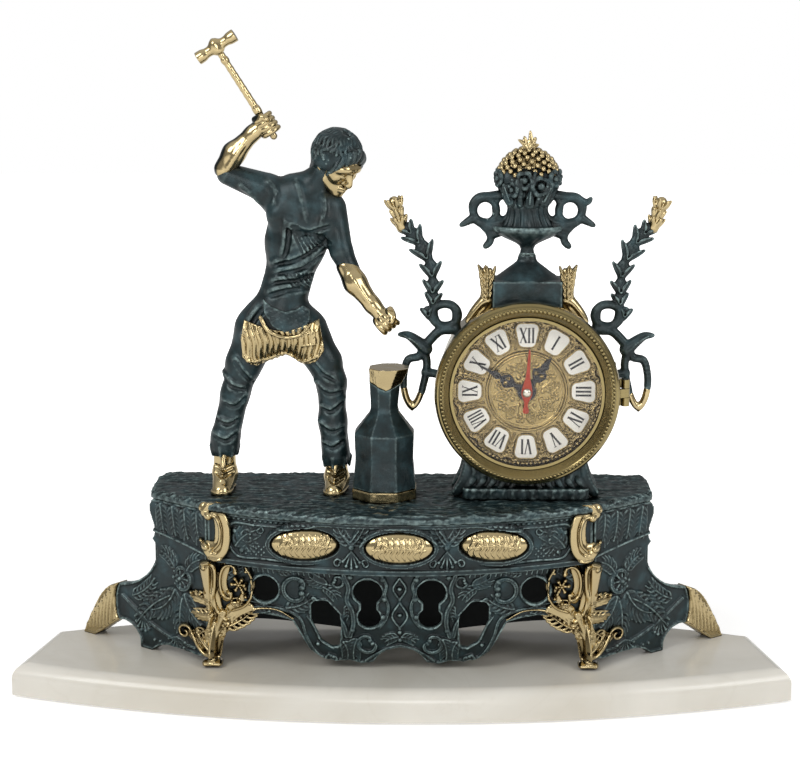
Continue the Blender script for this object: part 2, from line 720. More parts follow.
def border_of(quads):
    """The edges that only one face uses, each with the direction in which its face runs."""
    edges = {}
    for quad in quads.tolist():
        for start, end in zip(quad, quad[1:] + quad[:1]):
            if (end, start) in edges:
                del edges[(end, start)]
            else:
                edges[(start, end)] = True
    return list(edges)


def even_border(edges, front, back, inward):
    """Move the border corners of both skins halfway to their neighbours, a few times."""
    follow, lead = dict(edges), {end: start for start, end in edges}
    border = [vertex for vertex in follow if vertex in lead]
    for _ in range(BORDER_PASSES):
        beside = front[[follow[v] for v in border]] + front[[lead[v] for v in border]]
        moved = beside / 4 + front[border] / 2
        shift = moved - front[border]
        front[border] += shift
        back[border] += shift - np.outer(shift @ inward, inward)


def relief_shell(name, relief, solids, view, finish, thick, replaces, rim=(0, 0), floor_mm=None):
    """A dense shell: the map is laid on the solids along a view and closed at the back.

    view holds the origin, the direction of the map's x and the direction into the object, finish a
    material and its slot, and rim the width and height of the lip. With floor_mm the shell keeps only
    raised places, and that depth stands in where there is no solid behind them."""
    origin, across, inward = [Vector(part) for part in view]
    depth = plate_depth(relief, solid_of(*solids), origin, across, inward)
    kept = ~np.isnan(depth)
    if floor_mm is not None:
        depth = np.where(kept, np.minimum(depth, floor_mm + WRAP_MM), floor_mm)
        kept = relief["h"] > LEAST_RELIEF_MM
    height = relief["h"].copy()
    if rim[0]:
        steps = int(rim[0] / relief["cell"])
        away = edge_distance(kept, steps + 1) / (steps + 1)
        height = np.maximum(height, rim[1] * np.sqrt(np.clip(1 - (2 * away - 1) ** 2, 0, 1)) * (away < 1))
    number = -np.ones(kept.shape, int)
    number[kept] = np.arange(kept.sum())
    gx, gz = np.meshgrid(relief["x"], relief["z"])
    base = np.outer(gx[kept], across) + np.array(origin) + np.outer(gz[kept], (0, 0, 1))
    into = np.array(inward)
    front = base + np.outer(depth[kept] - height[kept], into)
    back = base + np.outer(depth[kept] + thick, into)
    a, b, c, d = number[:-1, :-1], number[:-1, 1:], number[1:, 1:], number[1:, :-1]
    whole = (a >= 0) & (b >= 0) & (c >= 0) & (d >= 0)
    quads = np.stack([a[whole], b[whole], c[whole], d[whole]], axis=1)
    edges = border_of(quads)
    even_border(edges, front, back, into)
    total = len(front)
    faces = quads.tolist() + (quads[:, ::-1] + total).tolist()
    faces += [[end, start, start + total, end + total] for start, end in edges]
    if across.cross(inward).z < 0:
        faces = [face[::-1] for face in faces]
    material, slot = finish
    return new_piece(name, np.vstack([front, back]), faces, material, "case", slot, replaces)


print("a border is evened out in", BORDER_PASSES, "passes")


# %% [markdown]
# ## The bowed front
# The frieze has a frame at each end with scrolling leaves and a diaper of small lozenges, oval frames
# for the gilt bosses, and between them ribbons over a shell. Only the left half is drawn, and the map is
# then mirrored, because the real pattern was cut that way.

# %% Frieze
MARBLE_TOP_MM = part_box("marble_plinth")[1].z / MM
FRONT_HALF_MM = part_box("front_apron")[1].x / MM
FRIEZE_TOP_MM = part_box("front_apron")[1].z / MM
BOSS_X_MM = 54.0
BOSS_Z_MM = 101.5


def draw_frieze(relief):
    """The left half of the frieze."""
    beads = [(x, FRIEZE_TOP_MM - 1.9) for x in np.arange(-109, 0, 3.2)]
    dots(relief, beads, 2.6, 1.0)
    stroke(relief, [(-100, 110), (-60, 110.6), (-45, 113), (-27, 112.6), (0, 113)], 1.3, 1.1)
    end_frame = [
        (-66, 90.6), (-80, 90.8), (-92, 90.4), (-97, 93.5), (-99.5, 100), (-99, 107), (-95, 110.5),
        (-84, 110.2)
    ]
    stroke(relief, end_frame, 2.0, 1.6)
    dots(relief, [(-91.5, 94.5), (-95.5, 105.5)], 3.4, 1.9)
    leaf(relief, (-95, 97), (-82, 107.5), 3.0, 7.0, 1.7, 5)
    leaf(relief, (-93, 103), (-82, 96.5), -2.0, 5.0, 1.4, 4)
    c_scroll(relief, (-87, 103.5), 4.6, 60, 250, 1.6, 1.6)
    c_scroll(relief, (-80.5, 108), 2.4, 180, 260, 1.2, 1.3)
    for row in range(4):
        for column in range(5):
            dots(relief, [(-92 + 3.1 * column + 1.5 * (row % 2), 92.6 + 1.7 * row)], 1.6, 0.8)
    leaf(relief, (-28, 103), (-35, 113), 1.5, 5.0, 1.6, 4)
    leaf(relief, (-26.5, 103), (-20, 113), -1.5, 5.0, 1.6, 4)
    stroke(relief, [(-31.5, 108), (-28, 104.5), (-25, 108.5), (-23, 111)], 1.6, 1.7)
    dots(relief, [(-27.2, 101.5)], 4.2, 2.4)
    shell(relief, (-27.2, 99), 10.0, 232, 76, 5, 2.2, 1.6)
    c_scroll(relief, (-34.5, 91.8), 2.6, 30, 250, 1.4, 1.6)
    c_scroll(relief, (-20, 91.8), 2.6, 150, -250, 1.4, 1.6)
    for index in range(26):
        x = -104 + 3.0 * index
        stroke(relief, [(x, 84.5), (x + 0.8, 80.5)], 1.5, 0.9, taper=0.5, smooth=False)


front_map = height_map((-FRONT_HALF_MM, FRONT_HALF_MM), (MARBLE_TOP_MM, FRIEZE_TOP_MM), 0.45)
draw_frieze(front_map)
print("frieze relief in mm:", round(front_map["h"].max(), 2))

# %% [markdown]
# Below the moulding the apron is a net of C scrolls and leaves round its openings, and every opening has
# a raised lip, which the shell adds along its edges.

# %% Pierced apron
def draw_apron(relief):
    """The left half of the pierced apron."""
    c_scroll(relief, (-58.5, 71), 9.0, 40, 270, 3.2, 2.4)
    dots(relief, [(-57, 77)], 4.6, 2.6)
    leaf(relief, (-66, 59), (-51, 66), -3, 6.5, 2.0, 5)
    rail = [(-88, 57), (-78, 58.5), (-66, 57), (-58, 52), (-55, 42), (-51, 33), (-46, 27)]
    stroke(relief, rail, 2.4, 1.9, groove=0.3)
    stroke(relief, [(-92, 62), (-84, 61), (-72, 58.5)], 1.8, 1.5, taper=0.4)
    leaf(relief, (-76, 56), (-90, 54), 2, 4.5, 1.6, 5)
    stroke(relief, [(-50, 66), (-44, 62), (-38, 57), (-33, 50), (-31, 42)], 3.4, 2.3, groove=0.3)
    dots(relief, [(-47.5, 64.5), (-42.5, 60.5), (-37.5, 56)], 3.6, 2.5)
    leaf(relief, (-42, 76), (-52, 80), 2, 5.5, 2.0, 5)
    leaf(relief, (-44, 74), (-36, 66), 2, 5.0, 1.9, 4)
    c_scroll(relief, (-36.5, 78), 4.2, 200, 280, 2.0, 2.2)
    stroke(
        relief, [(-32, 82), (-29.5, 74), (-30.5, 66), (-27.5, 58), (-27, 50), (-29, 42)], 3.4, 2.5,
        groove=0.35
    )
    leaf(relief, (-30, 63), (-31, 52), 2, 4.2, 2.0, 4)
    dots(relief, [(-28.5, 81), (-9.5, 80), (-8.6, 67), (-9.5, 55), (-27.6, 46)], 4.0, 2.6)
    stroke(
        relief, [(-10.5, 83), (-7.5, 76), (-8.5, 70), (-6.5, 62), (-8, 54), (-12, 48)], 2.4, 2.2, groove=0.3
    )
    stroke(relief, [(0, 81), (-3.6, 74), (0, 67), (0, 67)], 1.7, 2.0)
    stroke(relief, [(0, 65), (-4.4, 56), (0, 48), (0, 48)], 1.7, 2.0)
    dots(relief, [(0, 74), (0, 56.5), (0, 45), (0, 40)], 3.2, 2.4)
    leaf(relief, (-1, 42), (-9, 38), -1.5, 4.6, 2.0, 4)
    c_scroll(relief, (-18, 37.5), 6.6, 70, 290, 2.6, 2.5)
    leaf(relief, (-25, 40), (-27, 26), -2, 6.0, 2.4, 6)
    leaf(relief, (-33, 38), (-31, 25), 3, 5.5, 2.2, 5)
    c_scroll(relief, (-40, 27.5), 3.8, 120, 260, 2.0, 2.2)
    stroke(relief, [(-20, 25.5), (-14, 30), (-8, 33.5), (0, 36)], 2.2, 1.9, groove=0.3)
    stroke(relief, [(-47, 40), (-50, 48), (-54, 54)], 2.0, 1.8, taper=0.3)
    dots(relief, [(-48, 36), (-43, 64), (-52, 57)], 3.0, 2.2)
    leaf(relief, (-104, 74), (-92, 82), 2, 4.5, 1.4, 5)
    leaf(relief, (-70, 82), (-60, 83), -1, 3.6, 1.3, 4)


draw_apron(front_map)
np.maximum(front_map["h"], front_map["h"][:, ::-1], out=front_map["h"])
relief_shell(
    "front_casting", front_map, ["front_apron"], FRONT_VIEW, (PATINA, "patina"), 3.0, ["front_apron"],
    rim=(1.8, 1.0)
)


# %% [markdown]
# The three bosses are gilt shields with engraved sprays of leaves. At this size a cut line and a raised
# one look alike, so the sprays are low ridges, drawn on a finer map.

# %% Gilt bosses
def draw_boss(relief, x):
    """Hatched sprays over one boss, to both sides of its middle."""
    z = BOSS_Z_MM
    stroke(relief, [(x - 15, z - 1), (x, z + 1.0), (x + 15, z - 1)], 1.0, 0.7)
    for index in range(9):
        lean = -13.5 + 3.3 * index
        upper = [(x + lean, z), (x + lean + 1.5, z + 3.4), (x + lean + 0.4, z + 6.2)]
        lower = [(x - lean, z - 0.5), (x - lean - 1.8, z - 3.4), (x - lean - 0.2, z - 6.2)]
        stroke(relief, upper, 1.3, 0.8, taper=0.4)
        stroke(relief, lower, 1.3, 0.8, taper=0.4)
    c_scroll(relief, (x - 9, z + 0.6), 3.0, 0, 300, 0.9, 0.8)
    c_scroll(relief, (x + 9, z + 0.6), 3.0, 180, -300, 0.9, 0.8)


boss_map = height_map((-75, 75), (BOSS_Z_MM - 10, BOSS_Z_MM + 10), 0.35)
for boss_x in (-BOSS_X_MM, 0.0, BOSS_X_MM):
    draw_boss(boss_map, boss_x)
relief_shell("gilt_bosses", boss_map, ["oval_bosses"], FRONT_VIEW, (GILT, "gilt"), 0.4, ["oval_bosses"])


# %% [markdown]
# ## Side panels and back feet
# Each end of the casting turns away and sweeps out to a gilt foot. The upper part carries hanging
# leaves, a ridge crosses it at the height of the moulding, and below it a flower with long ribbons
# fills the field. The map is laid on square to the canted plate.

# %% Side panels
SIDE_CANT_DEG = 37.0
SIDE_RUN_MM = 106.0
CORNER_Y_MM = -32.0
cant = math.radians(SIDE_CANT_DEG)
SIDE_VIEW = (
    (-FRONT_HALF_MM, CORNER_Y_MM, 0), (-math.cos(cant), math.sin(cant), 0),
    (math.sin(cant), math.cos(cant), 0)
)


def draw_side(relief):
    """Relief of the left end, measured from the front corner along the plate."""
    for index in range(4):
        x = 5 + 10 * index
        leaf(relief, (x + 2, 113), (x, 95), 2.5 - index, 7.5, 2.2, 6)
        stroke(relief, [(x + 6, 112), (x + 5, 104), (x + 7, 96)], 1.8, 1.2, taper=0.5)
    stroke(relief, [(0, 88), (12, 90.5), (28, 93.5), (45, 96)], 2.0, 1.8)
    c_scroll(relief, (22, 70), 8.0, 30, 290, 3.0, 2.4)
    shell(relief, (22, 70), 6.5, 0, 315, 8, 2.6, 2.2)
    dots(relief, [(22, 70)], 4.0, 3.0)
    leaf(relief, (26, 62), (46, 46), -6, 9.0, 2.6, 7)
    leaf(relief, (30, 58), (60, 34), 5, 8.0, 2.4, 7)
    leaf(relief, (18, 61), (6, 44), 4, 8.0, 2.4, 6)
    leaf(relief, (20, 58), (22, 36), 3, 8.0, 2.4, 6)
    leaf(relief, (26, 76), (38, 84), 3, 6.0, 2.0, 5)
    leaf(relief, (16, 76), (6, 84), -3, 6.0, 2.0, 5)
    leaf(relief, (62, 52), (44, 66), 4, 6.0, 2.0, 6)
    stroke(relief, [(72, 50), (58, 42), (46, 36), (30, 31), (12, 29)], 2.4, 1.8, groove=0.3)
    shell(relief, (26, 33), 9.0, 200, 140, 7, 2.4, 1.8)
    shell(relief, (54, 40), 9.0, 215, 110, 6, 2.4, 1.8)
    dots(relief, [(4 + 4.6 * index, 25.8 + 0.12 * index) for index in range(10)], 2.4, 1.2)


side_map = height_map((0, SIDE_RUN_MM * 0.76), (MARBLE_TOP_MM, FRIEZE_TOP_MM), 0.5)
draw_side(side_map)
side_left = relief_shell(
    "side_casting_left", side_map, ["side_panel_left"], SIDE_VIEW, (PATINA, "patina"), 4.0,
    ["side_panel_left"], rim=(2.2, 1.2)
)
mirrored_piece(side_left, "side_casting_right", ["side_panel_right"])

# %% [markdown]
# The back feet are gilt shells: ribs that run down to the stone and a row of beads along the upper edge.

# %% Back feet
foot_map = height_map((SIDE_RUN_MM * 0.68, SIDE_RUN_MM * 1.01), (MARBLE_TOP_MM, MARBLE_TOP_MM + 40), 0.45)
for rib in range(9):
    top = SIDE_RUN_MM * (0.72 + 0.028 * rib)
    line = [(top, 58 - 3.4 * rib), (top + 4, 44 - 2.2 * rib), (top + 6, 28 - 0.6 * rib)]
    stroke(foot_map, line, 3.0, 1.3, taper=0.2)
dots(foot_map, [(SIDE_RUN_MM * (0.73 + 0.033 * bead), 55 - 4.1 * bead) for bead in range(8)], 3.0, 1.8)
foot_left = relief_shell(
    "shell_foot_left", foot_map, ["back_foot_left"], SIDE_VIEW, (GILT, "gilt"), 8.5, ["back_foot_left"],
    rim=(1.4, 0.8)
)
mirrored_piece(foot_left, "shell_foot_right", ["back_foot_right"])


# %% [markdown]
# ## Gilt corner mounts
# The corners carry cast scrollwork: a big ribbed C, a long S that runs down into an acanthus leg, a small
# C round a rosette, and a scrolled foot. These pieces keep only the raised places of their map, so the
# drawing is also their outline. It is drawn from the front corner of the casting and the marble's top.

# %% Corner mounts
MOUNT_BODIES = (
    ([(-1.0, 96), (6.5, 94), (8.6, 84), (6.4, 74), (-1.0, 73)], 9.0, 3.0, 0.0),
    ([(-1.5, 60), (0.5, 50), (2.5, 38), (4.5, 26), (2.0, 8)], 10.0, 3.4, 0.0),
    ([(5.0, 24), (13.0, 31), (24.0, 37)], 11.0, 3.0, 0.35),
    ([(10.0, 62), (8.0, 52), (10.0, 42)], 7.0, 2.4, 0.2),
    ([(2.0, 42), (-4.0, 40), (-11.0, 41)], 8.0, 2.6, 0.5),
    ([(2.0, 32), (-4.0, 30), (-10.5, 31)], 8.5, 2.8, 0.5),
    ([(1.0, 16), (-6.0, 13), (-13.0, 18)], 7.5, 3.0, 0.25),
    ([(12.0, 36), (19.0, 42), (22.0, 52)], 5.5, 2.0, 0.4),
)


def draw_mount(relief):
    """The mount of the left corner, seen from the front: broad leaf bodies first, then scrolls on them."""
    for line, width, height, taper in MOUNT_BODIES:
        stroke(relief, line, width, height, taper)
    big_c = [
        (-2.2, 74), (1.0, 69.5), (6.0, 69.0), (10.4, 74), (11.8, 82), (11.0, 90), (7.5, 96.5), (2.0, 98.5),
        (-1.8, 94)
    ]
    stroke(relief, big_c, 6.0, 5.0, groove=0.35)
    stroke(relief, [(3.5, 73), (7.2, 78), (7.8, 86), (5.2, 92.5), (0.8, 93.5)], 2.4, 4.6)
    dots(relief, [(-1.8, 73.5), (0.2, 92.5)], 6.4, 6.0)
    dots(relief, [(3.8, 71.2), (-4.4, 77.0)], 3.2, 4.6)
    stroke(
        relief, [(-3.7, 62.7), (0.6, 64.0), (3.4, 59), (3.2, 50), (2.4, 42), (4.6, 34), (9.5, 29)], 3.8, 5.4
    )
    dots(relief, [(-3.2, 60.6)], 4.2, 5.6)
    small_c = [
        (16.5, 59.5), (15.0, 63.0), (10.5, 63.0), (7.4, 58), (6.6, 51), (8.2, 44.6), (12.4, 42.6),
        (13.4, 46)
    ]
    stroke(relief, small_c, 2.8, 4.6)
    dots(relief, [(16.2, 59.2), (12.2, 46.0)], 4.0, 5.2)
    stroke(relief, [(22.5, 63), (25.5, 57), (26.5, 50), (24.5, 43), (20.5, 38), (14, 35)], 2.2, 3.6)
    shell(relief, (18.0, 51.5), 4.2, 0, 300, 6, 2.8, 4.0)
    dots(relief, [(18.0, 51.5), (22.5, 60.5), (22, 44.5), (17.5, 41.0), (20.5, 47)], 3.0, 4.8)
    leaf(relief, (13, 40), (22, 39), 1, 3.8, 3.8, 3)
    leaf(relief, (1, 40), (-11.5, 41.0), -2, 5.0, 4.0, 4)
    leaf(relief, (2, 34), (-11.5, 31.0), 2, 5.0, 4.2, 4)
    dots(relief, [(-11.5, 43.5), (-6.0, 43.8)], 3.0, 4.6)
    leaf(relief, (6, 33), (1.0, 14), 1, 7.5, 5.8, 6)
    stroke(relief, [(8, 33), (4, 24), (2, 14), (1.5, 6)], 6.0, 6.0, groove=0.3)
    leaf(relief, (10, 25), (27, 36.5), -3, 6.5, 4.8, 6)
    stroke(relief, [(8, 22), (17, 31), (28, 37), (40, 37.4), (50, 32)], 2.4, 3.0, taper=0.5)
    leaf(relief, (4, 18), (12, 27), 2, 5.0, 5.0, 4)
    stroke(relief, curl((-16.0, 18.4), 4.6, 20, 400, 0.25), 2.4, 5.2)
    stroke(relief, [(-11.4, 18.5), (-8, 12), (-4, 8.0), (0.4, 7)], 3.2, 5.0)
    leaf(relief, (-3, 22), (-9.5, 13), -2, 5.0, 4.4, 4)
    stroke(relief, [(-8, 20), (-4, 14), (0, 10)], 2.4, 4.6)
    stroke(relief, [(1.2, 9), (1.4, 5), (1.2, 3.2)], 6.4, 6.6)
    stroke(relief, [(-2.8, 2.4), (1.4, 2.6), (5.6, 2.4)], 4.4, 7.0)


MOUNT_FLOOR_MM = -30.5
mount_map = height_map(
    (-136, -60), (MARBLE_TOP_MM + 0.3, FRIEZE_TOP_MM + 5), 0.4, origin=(-FRONT_HALF_MM, MARBLE_TOP_MM)
)
draw_mount(mount_map)
mount_left = relief_shell(
    "corner_scrollwork_left", mount_map, ["front_apron", "side_panel_left"], FRONT_VIEW, (GILT, "gilt"), 1.2,
    ["corner_mount_left"], floor_mm=MOUNT_FLOOR_MM,
)
mirrored_piece(mount_left, "corner_scrollwork_right", ["corner_mount_right"])


# %% [markdown]
# ## Clay
# The smith, the flowers and the leaves are round forms that flow into each other. They are built up like
# clay: rods and eggs are pressed into a grid that stores, for every point, how far it lies from the
# surface. Where two forms meet they blend. At the end a net of four-sided faces is stretched along the
# surface of the grid.

# %% Rods, ropes and eggs
EMPTY_MM = 50.0


def clay(low, high, cell):
    """A block of empty space, in millimetres, ready to take forms."""
    axes = [np.arange(start, end + cell, cell, dtype=np.float32) for start, end in zip(low, high)]
    return {"axes": axes, "cell": cell, "value": np.full([len(axis) for axis in axes], EMPTY_MM, np.float32)}


def block(form, low, high):
    """The slices of a box in the block, and the places of its points."""
    part = tuple(slice(*np.searchsorted(axis, ends)) for axis, ends in zip(form["axes"], zip(low, high)))
    places = [axis[cut] for axis, cut in zip(form["axes"], part)]
    return part, np.meshgrid(*places, indexing="ij", sparse=True)


def merge(form, part, distance, blend, cut):
    """Blend a form into the clay, or cut it out."""
    old = -form["value"][part] if cut else form["value"][part]
    share = np.clip(0.5 + 0.5 * (old - distance) / blend, 0, 1)
    new = old + (distance - old) * share - blend * share * (1 - share)
    form["value"][part] = -new if cut else new


def press(form, start, end, radius, end_radius=None, blend=2.0, flat=1.0, cut=False):
    """A tapered rod with round ends; flat squeezes it from front to back."""
    end_radius = radius if end_radius is None else end_radius
    a, b = np.array(start, np.float32), np.array(end, np.float32)
    reach = max(radius, end_radius) + blend + 2 * form["cell"]
    part, (x, y, z) = block(form, np.minimum(a, b) - reach, np.maximum(a, b) + reach)
    if 0 in form["value"][part].shape:
        return
    dx, dy, dz = b[0] - a[0], (b[1] - a[1]) / flat, b[2] - a[2]
    x, y, z = x - a[0], (y - a[1]) / flat, z - a[2]
    along = np.clip((x * dx + y * dy + z * dz) / max(dx * dx + dy * dy + dz * dz, 1e-6), 0, 1)
    off = np.sqrt((x - along * dx) ** 2 + (y - along * dy) ** 2 + (z - along * dz) ** 2)
    merge(form, part, off - radius - along * (end_radius - radius), blend, cut)


def rope(form, points, radius, end_radius=None, blend=1.0, flat=1.0, cut=False, steps=4):
    """A smooth rope through points that tapers from one end to the other."""
    end_radius = radius if end_radius is None else end_radius
    line = smooth_path(points, steps) if len(points) > 2 else np.array(points, float)
    sizes = np.linspace(radius, end_radius, len(line))
    for index in range(len(line) - 1):
        press(form, line[index], line[index + 1], sizes[index], sizes[index + 1], blend, flat, cut)


def egg(form, middle, radii, blend=2.0, cut=False):
    """An egg with three half sizes."""
    reach = np.array(radii) + blend + 2 * form["cell"]
    part, (x, y, z) = block(form, np.array(middle) - reach, np.array(middle) + reach)
    shares = [(axis - centre) / radius for axis, centre, radius in zip((x, y, z), middle, radii)]
    off = np.sqrt(shares[0] ** 2 + shares[1] ** 2 + shares[2] ** 2)
    merge(form, part, (off - 1) * min(radii), blend, cut)


print("clay starts empty:", EMPTY_MM, "mm from any surface")

# %% [markdown]
# Cloth and skin are worked once the form stands: a fold is a thin rope that is laid on the surface, or cut
# into it, along a line drawn in the front view.

# %% Folds and the net
def surface_y(form, x, z, back=False):
    """Where the clay begins at a place in the front view, seen from the front or from the back."""
    column_x, column_z = np.searchsorted(form["axes"][0], x), np.searchsorted(form["axes"][2], z)
    column = form["value"][int(column_x), :, int(column_z)]
    inside = np.flatnonzero(column < 0)
    if len(inside) == 0:
        return None
    return float(form["axes"][1][inside[-1 if back else 0]])


def fold(form, points, radius, end_radius=0.3, cut=False, back=False, sink=0.35, blend=1.0):
    """A crease or ridge laid on the surface along points of the front view."""
    line = smooth_path(points, 5)
    places = [(x, surface_y(form, x, z, back), z) for x, z in line]
    places = [(x, y + (-1 if back else 1) * sink * radius, z) for x, y, z in places if y is not None]
    if len(places) > 1:
        sizes = np.linspace(radius, end_radius, len(places))
        for index in range(len(places) - 1):
            press(form, places[index], places[index + 1], sizes[index], sizes[index + 1], blend, 1.0, cut)


def net(form):
    """Corners and four-sided faces along the surface of the clay."""
    value = form["value"]
    shape = tuple(size - 1 for size in value.shape)
    total, count = np.zeros(shape + (3,), np.float32), np.zeros(shape, np.float32)
    for axis in range(3):
        u, w = (axis + 1) % 3, (axis + 2) % 3
        for du in (0, 1):
            for dw in (0, 1):
                pick = [slice(None)] * 3
                pick[u], pick[w] = slice(du, shape[u] + du), slice(dw, shape[w] + dw)
                pick[axis] = slice(0, -1)
                a = value[tuple(pick)]
                pick[axis] = slice(1, None)
                b = value[tuple(pick)]
                cross = (a < 0) != (b < 0)
                total[..., axis][cross] += a[cross] / (a[cross] - b[cross])
                total[..., u][cross] += du
                total[..., w][cross] += dw
                count[cross] += 1
    active = count > 0
    number = np.full(shape, -1)
    number[active] = np.arange(active.sum())
    places = np.stack(np.nonzero(active), 1) + total[active] / count[active][:, None]
    corners = places * form["cell"] + np.array([axis[0] for axis in form["axes"]])
    faces = []
    for axis in range(3):
        u, w = (axis + 1) % 3, (axis + 2) % 3
        low, high = [slice(None)] * 3, [slice(None)] * 3
        low[axis], high[axis] = slice(0, -1), slice(1, None)
        inside = value[tuple(low)] < 0
        edges = np.argwhere(inside != (value[tuple(high)] < 0))
        edges = edges[
            (edges[:, u] > 0) & (edges[:, w] > 0) & (edges[:, u] < shape[u]) & (edges[:, w] < shape[w])
        ]
        around = []
        for du, dw in ((1, 1), (0, 1), (0, 0), (1, 0)):
            at = edges.copy()
            at[:, u] -= du
            at[:, w] -= dw
            around.append(number[tuple(at.T)])
        quads = np.stack(around, 1)
        turned = ~inside[tuple(edges.T)]
        quads[turned] = quads[turned][:, ::-1]
        faces.extend(quads.tolist())
    return corners, faces


def cast_piece(name, form, material, slot, replaces=(), turn=None):
    """The surface of the clay as a named piece of the case, turned about the origin when asked."""
    corners, faces = net(form)
    if turn is not None:
        corners = corners @ np.array(turn.to_3x3()).T + np.array(turn.translation)
    return new_piece(name, corners, faces, material, "case", slot, replaces)


print("the net has four corners to a face")

# %% [markdown]
# ## The smith
# The body is one casting from the collar to the trouser cuffs. It is pressed up from rods along the bones,
# then the cloth is worked: wrinkles gather under the chest and across the belly, and the trouser legs
# carry slanting folds. Both sleeves end at the elbow, where the bright forearms begin.

# %% Body and trousers
TORSO = (
    ((-80, 0, 217), (-62, 0, 218), 16.5, 15.0, 6.0, 0.84),
    ((-72, 0, 226), (-66, 0, 246), 16.0, 12.6, 6.0, 0.84),
    ((-66, 0, 246), (-61, 0, 266), 12.6, 17.0, 6.0, 0.78),
    ((-62, 0, 268), (-58, 0, 284), 16.5, 18.5, 6.0, 0.72),
    ((-73, 0.5, 295), (-45, 0.5, 290), 10.5, 10.0, 6.0, 0.92),
    ((-69, -7, 284), (-62, -8, 283), 8.5, 7.5, 4.0, 0.7),
    ((-55, -8, 282), (-47, -7, 281), 7.5, 8.0, 4.0, 0.7),
    ((-60, 0, 298), (-52, 0, 302), 10.0, 8.0, 6.0, 0.9),
    ((-52, -1, 300), (-45, -3, 309), 7.6, 7.4, 3.0, 1.0),
    ((-79, 0, 299.5), (-100, -3, 307.5), 8.8, 6.3, 4.0, 1.0),
    ((-40, 0, 287), (-34.5, -5, 263), 8.4, 6.6, 4.0, 1.0),
    ((-34.5, -5, 263), (-29.5, -6.5, 252), 6.5, 6.0, 2.0, 1.0),
)
LEGS = (
    ((-84, 0, 214), (-92.5, 0, 196), 14.0, 10.2, 4.0, 0.95),
    ((-92.5, 0, 196), (-97.8, -1.5, 178), 10.2, 8.0, 4.0, 1.05),
    ((-97.8, -1.5, 178), (-104, -0.5, 152), 8.0, 8.4, 4.0, 1.0),
    ((-104, -0.5, 152), (-104.8, 0, 146.5), 8.6, 8.8, 2.0, 1.0),
    ((-56, 0, 214), (-45, 0, 197), 14.0, 9.6, 4.0, 0.95),
    ((-45, 0, 197), (-41, -1.5, 185), 9.6, 8.4, 4.0, 1.05),
    ((-41, -1.5, 185), (-40.4, -1.5, 162), 8.4, 7.9, 4.0, 1.0),
    ((-40.4, -1.5, 162), (-38.6, -0.5, 141), 7.9, 8.5, 4.0, 1.0),
)
smith = clay((-118, -26, 132), (-14, 26, 322), 0.75)
for rod in TORSO + LEGS:
    press(smith, *rod)
plain_body = {**smith, "value": smith["value"].copy()}
print("rods in the body:", len(TORSO + LEGS))

# %% [markdown]
# The tunic wraps over the chest, and every fold in it is a ridge with a groove beside it. The trousers are
# loose, so their folds run round to the back, and the cuffs end in a row of small scallops.

# %% Folds of the cloth
FRONT_FOLDS = (
    ([(-60, 304), (-57, 293), (-54, 281)], 0.8),
    ([(-66, 281), (-67, 270), (-70, 259)], 1.2),
    ([(-64, 280), (-56, 276.5), (-44, 280)], 1.3),
    ([(-74, 257), (-61, 261), (-45, 271)], 1.4),
    ([(-72, 252), (-60, 255), (-48, 263)], 1.3),
    ([(-74, 247), (-62, 248.5), (-52, 252)], 1.2),
    ([(-77, 240), (-66, 243), (-54, 243)], 1.2),
    ([(-77, 304), (-72, 298), (-73, 290)], 0.7),
    ([(-45, 296), (-44, 288), (-46, 281)], 0.6),
    ([(-92, 302), (-86, 297), (-81, 291)], 0.7),
    ([(-82, 232), (-88, 224), (-92, 214)], 1.2),
)
for points, radius in FRONT_FOLDS:
    fold(smith, points, radius * 1.3, 0.4, sink=0.5, blend=2.6)
    if radius > 1:
        fold(smith, [(x + 2.2, z - 1.8) for x, z in points], radius * 0.9, 0.4, cut=True, sink=0.1, blend=2.2)
for index in range(8):
    x = -62 + 2.3 * index
    crease = [(x, 276 - 0.4 * index), (x + 2.5, 270), (x + 5.5, 263 + 0.8 * index)]
    fold(smith, crease, 0.75, cut=True, sink=0.1)
    fold(smith, [(x - 4, 250), (x - 2, 246), (x + 1.0, 242)], 0.7, cut=True, sink=0.1)
LEG_FOLDS = (
    ([(-104, 191), (-99, 186), (-92, 184)], 1.1),
    ([(-91, 179), (-97, 174), (-104, 176)], 1.2),
    ([(-109, 166), (-102, 163), (-96, 166)], 1.0),
    ([(-97, 157), (-103, 153), (-110, 156)], 1.2),
    ([(-97, 201), (-92, 194), (-87, 188)], 1.2),
    ([(-50, 187), (-43, 182), (-35, 183)], 1.1),
    ([(-34, 176), (-41, 171), (-47, 173)], 1.2),
    ([(-48, 163), (-41, 159), (-35, 161)], 1.0),
    ([(-34, 153), (-40, 149), (-46, 151)], 1.2),
    ([(-52, 201), (-46, 194), (-39, 190)], 1.2),
)
for points, radius in LEG_FOLDS:
    for back in (False, True):
        fold(smith, points, radius, 0.4, back=back, sink=0.6, blend=2.4)
        below = [(x, z - 2.2) for x, z in points]
        fold(smith, below, radius * 0.8, 0.3, cut=True, back=back, sink=0.0, blend=1.6)
BACK_FOLDS = (
    [(-72, 296), (-66, 284), (-62, 268)],
    [(-48, 294), (-54, 282), (-58, 268)],
    [(-60, 300), (-61, 275), (-64, 246)],
)
for points in BACK_FOLDS:
    fold(smith, points, 1.3, 0.6, cut=True, back=True, sink=0.1, blend=2.0)
SCALLOPS = 7
for x, z in ((-104.8, 147), (-38.4, 140.5)):
    for scallop in range(SCALLOPS):
        upper = on_circle((x, 0), 8.2, 2 * math.pi * scallop / SCALLOPS)
        lower = on_circle((x, 0), 7.6, 2 * math.pi * scallop / SCALLOPS)
        press(smith, (*upper, z), (*lower, z - 6), 1.3, 0.8, 1.0)
